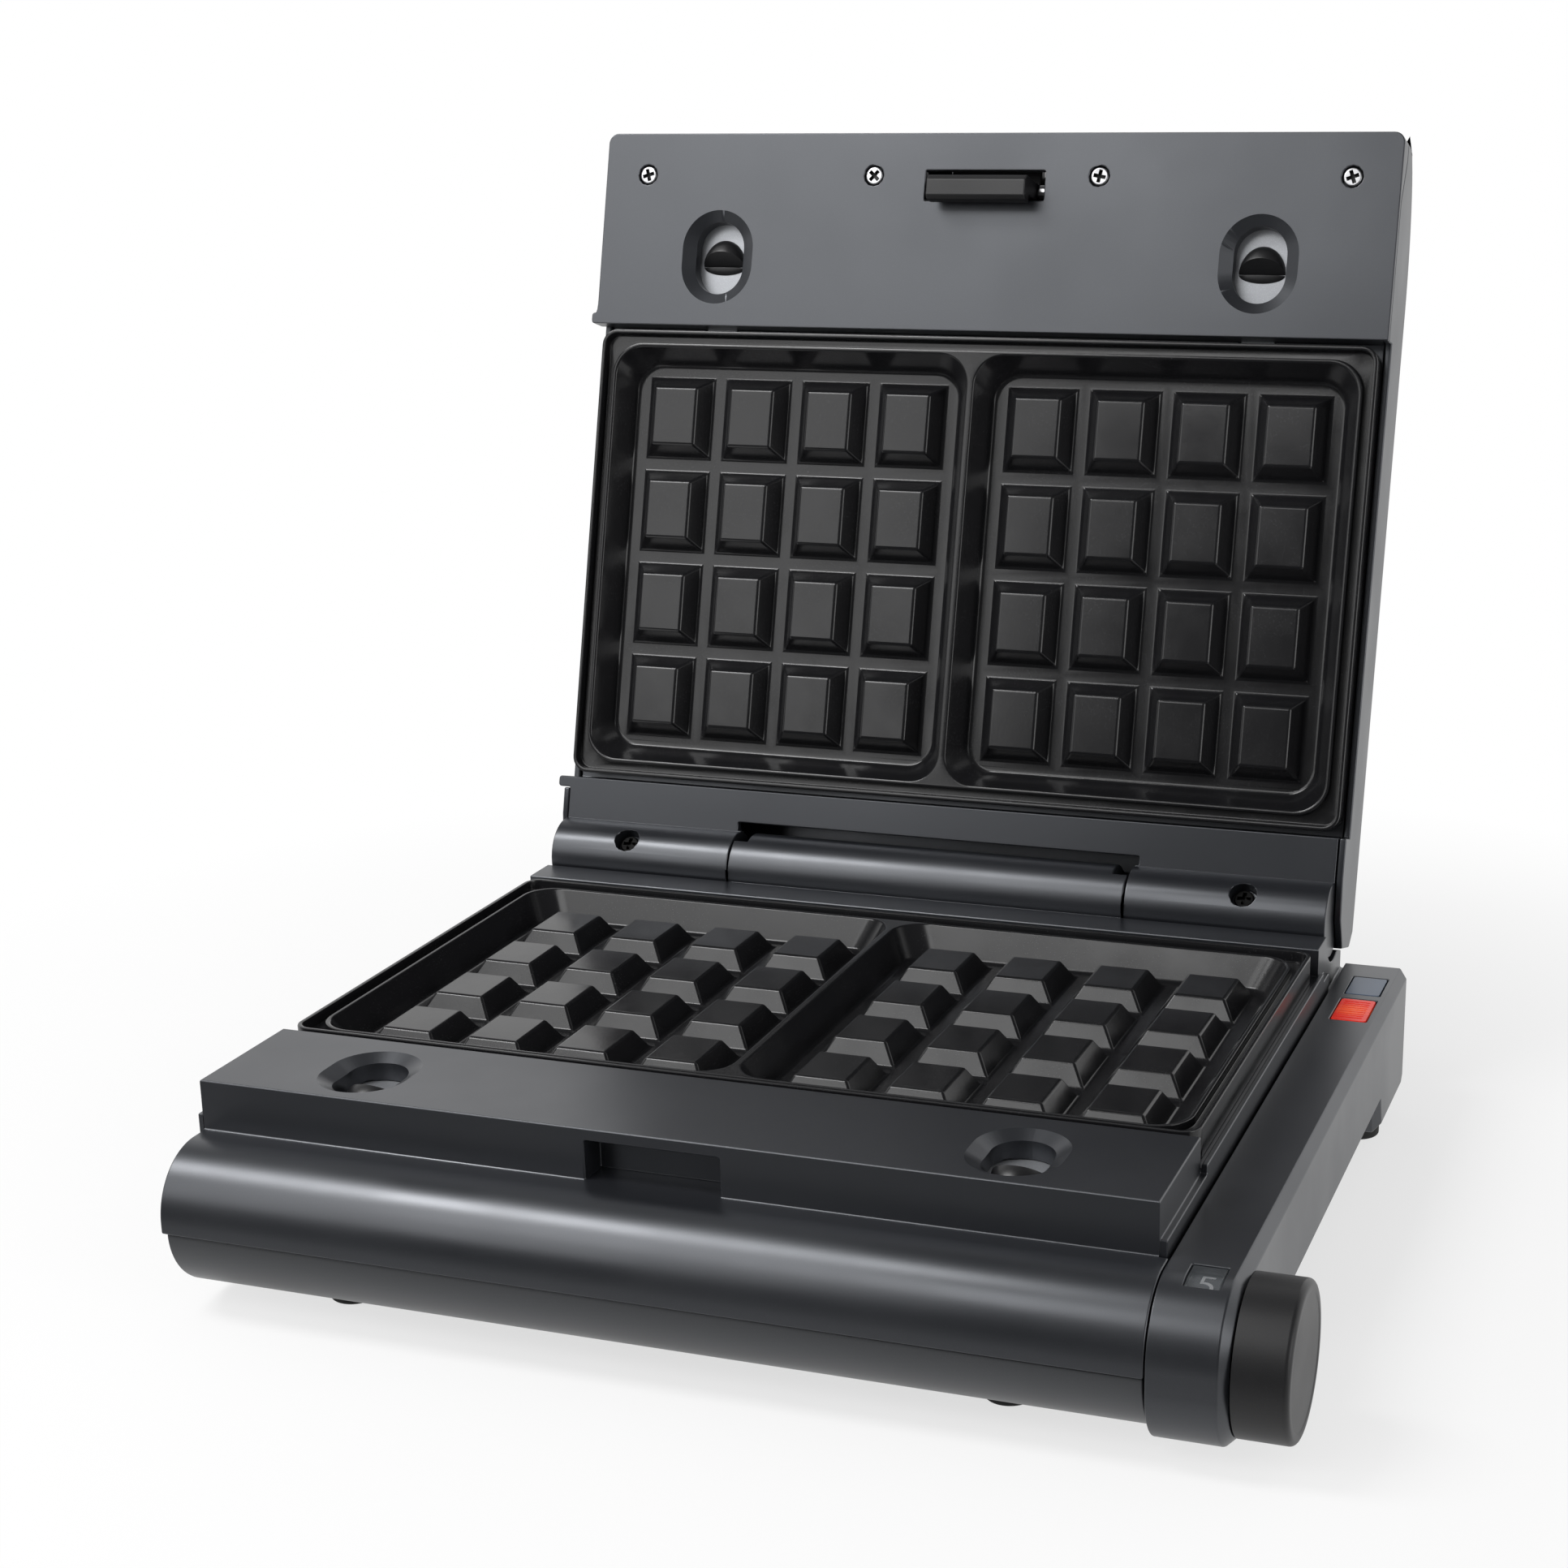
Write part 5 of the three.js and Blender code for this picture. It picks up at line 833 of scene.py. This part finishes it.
SLIDE_TOP = -6.9
SLIDE_BOTTOM = SLIDE_TOP - 2.0
SLIDE_SLAB = ((-10.25, RELEASE_Y - 11.5, SLIDE_BOTTOM), (10.25, RELEASE_Y + 14.7, SLIDE_TOP))
SLIDE_TONGUE = ((-5, RELEASE_Y + 10.7, -10.2), (5, -162.2, -8.6))
SLIDE_LUG = ((-3, RELEASE_Y + 1, SLIDE_BOTTOM - 4.4), (3, RELEASE_Y + 2.6, SLIDE_BOTTOM + 0.4))
THUMB_MIDDLE = RELEASE_Y + 2
THUMB_SIZE = (7.0, 8.4, 4.9)
THUMB_SLOPE = 3.2
THUMB_LIP = (7.0, 2.5, 1.1)


def slide_solid():
    """A release slide: slab, tongue and spring lug."""
    slab = block(*SLIDE_SLAB)
    add_to(slab, block(*SLIDE_TONGUE))
    add_to(slab, block(*SLIDE_LUG))
    return round_edges(slab, 0.25, 2)


def thumb_solid():
    """The dome that a fingertip pushes: half a ball with a slanted face, and a low lip at its foot."""
    parts = []
    for size, normal in ((THUMB_SIZE, (0, THUMB_SIZE[Z], THUMB_SLOPE)), (THUMB_LIP, (0, -1, 0))):
        dome = fresh(bpy.ops.mesh.primitive_uv_sphere_add, segments=64, ring_count=32, radius=1)
        set_scale(dome, size)
        edit(dome)
        for way, point in ((normal, (0, 0.1 - 0.2 * normal[Y] / max(size), 0)), ((0, 0, -1), (0, 0, -0.5))):
            pick_all()
            bpy.ops.mesh.bisect(plane_co=point, plane_no=way, use_fill=True, clear_outer=True)
        leave_edit()
        parts.append(round_edges(dome, 0.3, 3, 40))
    both = join(parts)
    both.data.transform(Matrix.Translation((0, THUMB_MIDDLE, SLIDE_TOP)))
    return both


class SNACK_OT_releases(bpy.types.Operator):
    """Model one plate release slide and place the four"""

    bl_idname = "snack.releases"
    bl_label = "Plate releases"

    def execute(self, context):
        looks = finishes()
        slide, thumb = slide_solid(), thumb_solid()
        for level, place, sign in (("lower", DECK, 1), ("upper", LID_INWARDS, -1)):
            for side, x in (("left", -RELEASE_X), ("right", RELEASE_X)):
                shift = Matrix.Translation((sign * x, 0, 0))
                name, body = f"{level}_{side}", f"{level}_{side}_release"
                node = f"{level}_plate_release_{side}"
                finish(
                    copied(slide, shift), "slide_" + name, body, looks["slide"], place, [node]
                )
                finish(copied(thumb, shift), "thumb_" + name, body, looks["dark"], place)
        bpy.data.objects.remove(slide)
        bpy.data.objects.remove(thumb)
        return {"FINISHED"}


# Knob and number drum. Frame: the axis lies along X through the origin.

BORE_RADIUS = 3.3
KNOB_X = (146.5, 159.5)
KNOB_RADIUS = 18.8
KNOB_HUB_RADIUS = 6
KNOB_HOLLOW = 10.8
KNOB_FACE_AREA = 300
DRUM_X = (130.0, 143.3)
DRUM_RADIUS = 17.1
DRUM_HUB_RADIUS = 5.5
DRUM_HOLLOW = 11.6
NUMBERS = range(7)
NUMBER_STEP = math.radians(45)
NUMBER_AT_REST = 5
NUMBER_ANGLE = math.radians(10)
NUMBER_X = 137.1
NUMBER_THINNING = -0.1
NUMBER_THICKNESS = 0.05
NUMBER_LIFT = 0.06
TEXT_SIZE = 1.35


class SNACK_OT_knob(bpy.types.Operator):
    """Model the browning knob on the end of the roll"""

    bl_idname = "snack.knob"
    bl_label = "Knob"

    def execute(self, context):
        low, high = KNOB_X
        body = rod(((low + high) / 2, 0, 0), KNOB_RADIUS, high - low, "X", 96)
        edit(body)
        bevel_edges(body, edges_between(X, low=high), 1.5, 6)
        pick(body, "faces", lambda f: f.normal.x < -0.9)
        inset(2.0)
        inset(0.01, -KNOB_HOLLOW)
        pick(body, "faces", lambda f: f.normal.x > 0.99 and f.calc_area() > KNOB_FACE_AREA)
        inset(1.2)
        inset(0.3, -0.15)
        leave_edit()
        hub = rod(((low + high - 1.8) / 2, 0, 0), KNOB_HUB_RADIUS, high - low - 2, "X", 48)
        cut(hub, rod((low + 4, 0, 0), BORE_RADIUS, 13, "X", 32))
        knob = join([body, hub])
        finish(knob, "knob", "knob", finishes()["dark"], KNOB_AXIS, ["control_knob"])
        return {"FINISHED"}


def number_on_drum(value, height):
    """A number laid round the drum: drawn flat, then wrapped to the radius."""
    bpy.ops.object.select_all(action="DESELECT")
    bpy.ops.object.text_add(location=(0, 0, 0))
    text = bpy.context.active_object.data
    text.body = str(value)
    text.size = height * TEXT_SIZE
    text.align_x = text.align_y = "CENTER"
    text.extrude = NUMBER_THICKNESS
    text.offset = NUMBER_THINNING
    bpy.ops.object.convert(target="MESH")
    number = bpy.context.active_object
    edit(number)
    pick_all()
    bpy.ops.mesh.remove_doubles(threshold=WELD)
    bpy.ops.mesh.subdivide(number_cuts=4)
    leave_edit()
    turn = NUMBER_ANGLE - (value - NUMBER_AT_REST) * NUMBER_STEP
    for vertex in number.data.vertices:
        across, up, out = vertex.co
        angle = turn - up / DRUM_RADIUS
        radius = DRUM_RADIUS + NUMBER_LIFT + out
        vertex.co = (NUMBER_X + across, -radius * math.sin(angle), radius * math.cos(angle))
    return number


class SNACK_OT_drum(bpy.types.Operator):
    """Model the number drum behind the window"""

    bl_idname = "snack.drum"
    bl_label = "Number drum"

    def execute(self, context):
        looks = finishes()
        centre, length = (sum(DRUM_X) / 2, 0, 0), DRUM_X[1] - DRUM_X[0]
        drum = rod(centre, DRUM_RADIUS, length, "X", 96)
        edit(drum)
        pick(drum, "faces", lambda f: f.normal.x < -0.9)
        inset(1.4)
        inset(0.01, -DRUM_HOLLOW)
        leave_edit()
        add_to(drum, rod(centre, DRUM_HUB_RADIUS, length - 0.4, "X", 48))
        cut(drum, rod(centre, BORE_RADIUS, 20, "X", 32))
        round_edges(drum, 0.25, 2, 40)
        finish(drum, "drum", "knob", looks["drum"], KNOB_AXIS, ["number_drum"])
        height = context.scene.snack_maker_sizes.number_height
        numbers = join([number_on_drum(value, height) for value in NUMBERS])
        finish(numbers, "drum_numbers", "knob", looks["number"], KNOB_AXIS, weighted=False)
        return {"FINISHED"}


# Lamp lenses in the arm

LENS_CORNER = 0.9
LENS_MARGIN = 1.5
RIB_RADIUS = 0.5
RIB_RISE = 0.32


def lens_solid(low, high, ribs):
    """A lens with rounded corners, and ribs between shallow grooves across its face."""
    lens = block(low, high)
    edit(lens)
    bevel_edges(lens, lambda e: abs(e.verts[0].co.z - e.verts[1].co.z) > 1, LENS_CORNER, 6)
    leave_edit()
    round_edges(lens, 0.25, 3, 40)
    for i in range(ribs):
        step = (high[Y] - low[Y] - 2 * LENS_MARGIN) / ribs
        centre = ((low[X] + high[X]) / 2, low[Y] + LENS_MARGIN + step * (i + 0.5), high[Z] + RIB_RISE)
        cut(lens, rod(centre, RIB_RADIUS, high[X] - low[X] - 2.4, "X", 16))
    return lens


class SNACK_OT_lenses(bpy.types.Operator):
    """Model the ready lamp and power lamp lenses"""

    bl_idname = "snack.lenses"
    bl_label = "Lamp lenses"

    def execute(self, context):
        back = DECK.inverted()
        for kind, look, ribs in (("ready", "grey_lens", 0), ("power", "red_lens", 9)):
            low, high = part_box(kind + "_lens")
            lens = lens_solid(back @ low, back @ high, ribs)
            finish(lens, "lens_" + kind, "base", finishes()[look], DECK, [kind + "_lens"])
        return {"FINISHED"}


# Screws. Frame: the head's top is at Z = 0 and the shank goes down.

SCREW_SIZES = {"lid": (2.8, 1.6, 13.7), "base": (2.8, 1.6, 17), "hinge": (3.0, 1.7, 4.7)}
CROSS_DEPTH = 1.25
SHANK_RADIUS = 1.4
LID_SCREWS_X = (-112, -35.9, 35.9, 112)
LID_SCREW_V = 216
LID_SCREW_RISE = 0.3
BASE_SCREWS = ((-60, -186), (60, -186), (-100, 0), (100, 0))
BASE_SCREW_Z = -40.8
HINGE_SCREW_X = 99
HINGE_SCREW_TILT = math.radians(180 - 32.3)
HINGE_SCREW_DEPTH = 8.2


def screw_solid(head_radius, head_height, length):
    """A cross-head screw. The faces of its cross carry the number of a second material, a near-black metal
    that paints the shade inside the cross.
    """
    head = rod((0, 0, -head_height / 2), head_radius, head_height, "Z", 48)
    for look in ("steel", "recess"):
        head.data.materials.append(finishes()[look])
    edit(head)
    bevel_edges(head, edges_between(Z, low=0), head_height * 0.35, 4)
    leave_edit()
    reach, half = head_radius * 0.78, head_radius * 0.23
    for x, y in ((reach, half), (half, reach)):
        slot = block((-x, -y, -CROSS_DEPTH), (x, y, 1))
        edit(slot)
        pick(slot, "faces", lambda f: f.normal.z < -0.9)
        bpy.ops.transform.resize(value=(0.72, 0.72, 1), center_override=(0, 0, -CROSS_DEPTH))
        leave_edit()
        cut(head, slot)
    # The cross's faces take the second, near-black material: painted shade in the cross.
    for face in head.data.polygons:
        inside = math.hypot(face.center.x, face.center.y) < reach * 1.02
        face.material_index = int(inside and face.center.z < -0.06 and face.center.z > -1.5)
    round_edges(head, 0.06, 2, 35)
    shank_middle = (0, 0, -(head_height + length) / 2)
    return join([head, rod(shank_middle, SHANK_RADIUS, length - head_height + 0.2, "Z", 24)])


def screw_places():
    """Each screw's kind, its number or side, its body and its place."""
    for i, x in enumerate(LID_SCREWS_X):
        place = LID @ Matrix.Translation((x, -LID_SCREW_V, LID_FACE + LID_SCREW_RISE)) @ FACING_IN
        yield "lid", i + 1, "lid", place @ Matrix.Rotation(math.radians(17 + 31 * i), 4, "Z")
    for i, (x, y) in enumerate(BASE_SCREWS):
        place = DECK @ Matrix.Translation((x, y, BASE_SCREW_Z)) @ Matrix.Rotation(math.pi, 4, "X")
        yield "base", i + 1, "base", place
    for side, x in (("left", -HINGE_SCREW_X), ("right", HINGE_SCREW_X)):
        place = LID @ Matrix.Translation((x, 0, 0)) @ Matrix.Rotation(HINGE_SCREW_TILT, 4, "X")
        yield "hinge", side, "lid", place @ Matrix.Translation((0, 0, HINGE_SCREW_DEPTH))


class SNACK_OT_screws(bpy.types.Operator):
    """Model the cross-head screws of the lid, the barrels and the tray"""

    bl_idname = "snack.screws"
    bl_label = "Screws"

    def execute(self, context):
        looks = finishes()
        bright, blackened = [looks["steel"], looks["recess"]], [looks["blackened"]] * 2
        solids = {kind: screw_solid(*size) for kind, size in SCREW_SIZES.items()}
        for kind, mark, body, place in screw_places():
            metals = blackened if kind == "hinge" else bright
            node = f"{kind}_screw_{mark}"
            finish(copied(solids[kind]), f"screw_{kind}_{mark}", body, metals, place, [node])
        for solid in solids.values():
            bpy.data.objects.remove(solid)
        return {"FINISHED"}


# Feet

FOOT_RADIUS = 6.3
FOOT_PEG_RADIUS = 2.0
FRONT_PEG, REAR_PEG = 1.8, 2.4


class SNACK_OT_feet(bpy.types.Operator):
    """Model one rubber foot and place the four"""

    bl_idname = "snack.feet"
    bl_label = "Feet"

    def execute(self, context):
        back = DECK.inverted()
        for corner in ("front_left", "front_right", "rear_left", "rear_right"):
            node = "foot_" + corner
            low, high = (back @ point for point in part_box(node))
            centre = (low + high) / 2
            top = high.z - (FRONT_PEG if "front" in corner else REAR_PEG) - 0.3
            foot = rod((centre.x, centre.y, (low.z + top) / 2), FOOT_RADIUS, top - low.z, "Z", 64)
            edit(foot)
            bevel_edges(foot, edges_between(Z, high=low.z), 0.9, 5)
            pick(foot, "faces", lambda f: f.normal.z < -0.9 and f.calc_area() > 20)
            inset(1.6)
            inset(0.3, -0.5)
            leave_edit()
            peg_middle = (centre.x, centre.y, (top + high.z) / 2 - 0.2)
            foot = join([foot, rod(peg_middle, FOOT_PEG_RADIUS, high.z - top + 0.4, "Z", 24)])
            finish(foot, "pad_" + corner, "base", finishes()["rubber"], DECK, [node])
        return {"FINISHED"}


# Springs and inner pieces

KEPT = {
    "steel": ["hinge_pin_left", "hinge_pin_right", "knob_shaft", "latch_pin", "latch_spring"],
    "heater": ["lower_heating_element", "upper_heating_element"],
    "pan": ["lower_reflector", "upper_reflector"],
    "ceramic": ["thermostat", "thermal_fuse", "terminal_block"],
    "board": ["lamp_board"],
    "rubber": ["cord_gland"],
}


class SNACK_OT_springs(bpy.types.Operator):
    """Copy the springs of the release slides"""

    bl_idname = "snack.springs"
    bl_label = "Release springs"

    def execute(self, context):
        for level, body, place in (("lower", "base", DECK), ("upper", "lid", LID)):
            for side in ("left", "right"):
                node = f"{level}_release_spring_{side}"
                spring = node_copy(node)
                finish(
                    spring, f"spring_{level}_{side}", body, finishes()["steel"], None, [node]
                )
                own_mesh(spring)
        return {"FINISHED"}


class SNACK_OT_inner_pieces(bpy.types.Operator):
    """Give the inner pieces their finishes"""

    bl_idname = "snack.inner_pieces"
    bl_label = "Inner pieces"

    def execute(self, context):
        for look, nodes in KEPT.items():
            for node in nodes:
                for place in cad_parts[node].material_slots:
                    place.material = finishes()[look]
        return {"FINISHED"}


# Stage. Lengths are in metres, but the camera's place is in the deck's frame.

CAMERA_PLACE = (257.95, -751.8, 247.9)
YAW, PITCH, ROLL = math.radians(19.56), math.radians(-17.59), math.radians(-0.80)
LENS = 62.07
LENS_SHIFT = (-0.0760, 0.0745)
FLOOR_RADIUS = 6
SOFTBOXES = {
    "key": ((-0.42, -0.95, 1.02), (0, 0.1, 0.2), (0.8, 0.46)),
    "front": ((-0.72, -0.95, 0.56), (0, 0.1, 0.15), (0.8, 0.40)),
    "top": ((-0.60, -0.38, 1.05), (-0.1, -0.15, 0.0), (0.62, 0.26)),
    "side": ((1.25, -0.45, 0.45), (0, -0.05, 0.1), (0.6, 0.7)),
}


def softbox(name, place, target, size, energy):
    data = bpy.data.lights.new(name, "AREA")
    data.shape = "RECTANGLE"
    data.size, data.size_y = size
    data.energy = energy
    lamp = bpy.data.objects.new(name, data)
    bpy.context.scene.collection.objects.link(lamp)
    back = (Vector(place) - Vector(target)).normalized()
    across = Vector((1, 0, 0)) if abs(back.z) > 0.7 else Vector((0, 0, 1)).cross(back)
    up = back.cross(across).normalized()
    turn = Matrix((up.cross(back), up, back)).transposed()
    lamp.matrix_world = Matrix.Translation(place) @ turn.to_4x4()
    lamp.visible_camera = False


def camera_matrix():
    """The camera's place and turn, fitted to the photographed view."""
    forward = Vector((-math.sin(YAW) * math.cos(PITCH), math.cos(YAW) * math.cos(PITCH), math.sin(PITCH)))
    right = forward.cross(Vector((0, 0, 1))).normalized()
    up = right.cross(forward)
    across = right * math.cos(ROLL) + up * math.sin(ROLL)
    upright = -right * math.sin(ROLL) + up * math.cos(ROLL)
    matrix = Matrix((across, upright, -forward)).transposed().to_4x4()
    matrix.translation = DECK @ Vector(CAMERA_PLACE)
    return matrix


def white_world(ambient):
    """Plain light from all round, a white surround for what the camera sees, and for glossy surfaces one that
    is white low down and dims upwards and towards the front.
    """
    world = bpy.data.worlds.new("Studio")
    bpy.context.scene.world = world
    world.use_nodes = True
    tree = world.node_tree
    tree.nodes.clear()
    rays = tree.nodes.new("ShaderNodeLightPath").outputs
    seen = combined(tree, "MAXIMUM", rays["Is Camera Ray"], rays["Is Glossy Ray"])
    seen_all = combined(tree, "MAXIMUM", seen, rays["Is Transmission Ray"])
    way = tree.nodes.new("ShaderNodeTexCoord").outputs["Generated"]
    parts = add_node(tree, "ShaderNodeSeparateXYZ", {0: way}).outputs
    rise = combined(tree, "SUBTRACT", parts["Z"], combined(tree, "MULTIPLY", parts["Y"], 0.7))
    wall = remap(tree, rise, 0.15, 0.60, 1.0, 0.08)
    clear = combined(tree, "MAXIMUM", wall, rays["Is Camera Ray"])
    plain = add_node(tree, "ShaderNodeBackground", {"Color": WHITE, "Strength": ambient})
    white = add_node(tree, "ShaderNodeBackground", {"Color": WHITE, "Strength": clear})
    mix = add_node(tree, "ShaderNodeMixShader", {0: seen_all, 1: plain.outputs[0], 2: white.outputs[0]})
    add_node(tree, "ShaderNodeOutputWorld", {0: mix.outputs[0]})


def floor_material():
    """A pale floor that keeps the shadow near the object and turns white further out.

    Glossy surfaces see it dark towards the front: a painted dark reflection, which the camera does not see.
    """
    material = bpy.data.materials.new("pale floor")
    material.use_nodes = True
    tree = material.node_tree
    place = tree.nodes.new("ShaderNodeTexCoord").outputs["Object"]
    rays = tree.nodes.new("ShaderNodeLightPath").outputs
    mottle = remap(tree, noise(tree, place, 9.0), 0.3, 0.7)
    far = remap(tree, distance_from_origin(tree, place), 0.15, 0.42, 0.68, 1.0)
    sides = add_node(tree, "ShaderNodeSeparateXYZ", {0: place}).outputs
    # Painted dark reflection: towards the front, glossy rays see a dim floor, while the camera sees it white.
    front_reflection_dimming = remap(tree, sides["Y"], -0.23, -0.13, 0.05, 0.9)
    seen = combined(tree, "MAXIMUM", rays["Is Camera Ray"], rays["Is Glossy Ray"])
    strength = combined(tree, "MAXIMUM", rays["Is Camera Ray"], front_reflection_dimming)
    glow = add_node(tree, "ShaderNodeEmission", {"Color": WHITE, "Strength": strength})
    pale = tree.nodes["Principled BSDF"]
    tone = blend_colours(tree, mottle, (0.90, 0.90, 0.90, 1), (0.91, 0.91, 0.91, 1))
    feed(tree, pale.inputs["Base Color"], tone)
    feed(tree, pale.inputs["Roughness"], 0.9)
    share = combined(tree, "MULTIPLY", far, seen)
    mix = add_node(tree, "ShaderNodeMixShader", {0: share, 1: pale.outputs[0], 2: glow.outputs[0]})
    output = next(n for n in tree.nodes if n.type == "OUTPUT_MATERIAL")
    feed(tree, output.inputs[0], mix.outputs[0])
    return material


class SNACK_OT_stage(bpy.types.Operator):
    """Set up the camera, the lamps, the surround and the floor"""

    bl_idname = "snack.stage"
    bl_label = "Stage"

    def execute(self, context):
        scene = context.scene
        settings = scene.snack_maker_stage
        scene.view_settings.view_transform = "Standard"
        data = bpy.data.cameras.new("Camera")
        data.lens = LENS
        data.sensor_width = 36
        data.shift_x, data.shift_y = LENS_SHIFT
        data.clip_start = 0.01
        camera = bpy.data.objects.new("Camera", data)
        scene.collection.objects.link(camera)
        camera.matrix_world = camera_matrix()
        scene.camera = camera
        for name, (place, target, size) in SOFTBOXES.items():
            softbox(name.title(), place, target, size, getattr(settings, name))
        white_world(settings.ambient)
        floor = fresh(
            bpy.ops.mesh.primitive_circle_add, vertices=settings.floor_sides, radius=FLOOR_RADIUS,
            fill_type="NGON",
        )
        floor.name = "Floor"
        floor.data.materials.append(floor_material())
        return {"FINISHED"}


class SNACK_PT_panel(bpy.types.Panel):
    """Lists the pieces that can be built"""

    bl_idname = "SNACK_PT_panel"
    bl_label = "Snack Maker"
    bl_space_type = "VIEW_3D"
    bl_region_type = "UI"
    bl_category = "Snack Maker"

    def draw(self, context):
        for group in SETTINGS:
            settings = getattr(context.scene, group)
            for name in settings.bl_rna.properties.keys():
                if name not in ("rna_type", "name"):
                    self.layout.prop(settings, name)
        for step in STEPS:
            self.layout.operator(step.bl_idname)


STEPS = (
    SNACK_OT_stage,
    SNACK_OT_base_shells,
    SNACK_OT_control_arm,
    SNACK_OT_lid_shells,
    SNACK_OT_latch,
    SNACK_OT_plates,
    SNACK_OT_releases,
    SNACK_OT_knob,
    SNACK_OT_drum,
    SNACK_OT_window,
    SNACK_OT_lenses,
    SNACK_OT_screws,
    SNACK_OT_feet,
    SNACK_OT_springs,
    SNACK_OT_inner_pieces,
)
SETTINGS = {
    "snack_maker_sizes": SnackMakerSizes,
    "snack_maker_colours": SnackMakerColours,
    "snack_maker_stage": SnackMakerStage,
}


def register():
    for cls in (*SETTINGS.values(), *STEPS, SNACK_PT_panel):
        bpy.utils.register_class(cls)
    for name, cls in SETTINGS.items():
        setattr(bpy.types.Scene, name, PointerProperty(type=cls))


def unregister():
    for name in SETTINGS:
        delattr(bpy.types.Scene, name)
    for cls in (SNACK_PT_panel, *reversed(STEPS), *reversed(SETTINGS.values())):
        bpy.utils.unregister_class(cls)


def main():
    register()
    for step in STEPS:
        group, name = step.bl_idname.split(".")
        getattr(getattr(bpy.ops, group), name)()


if __name__ == "__main__":
    main()
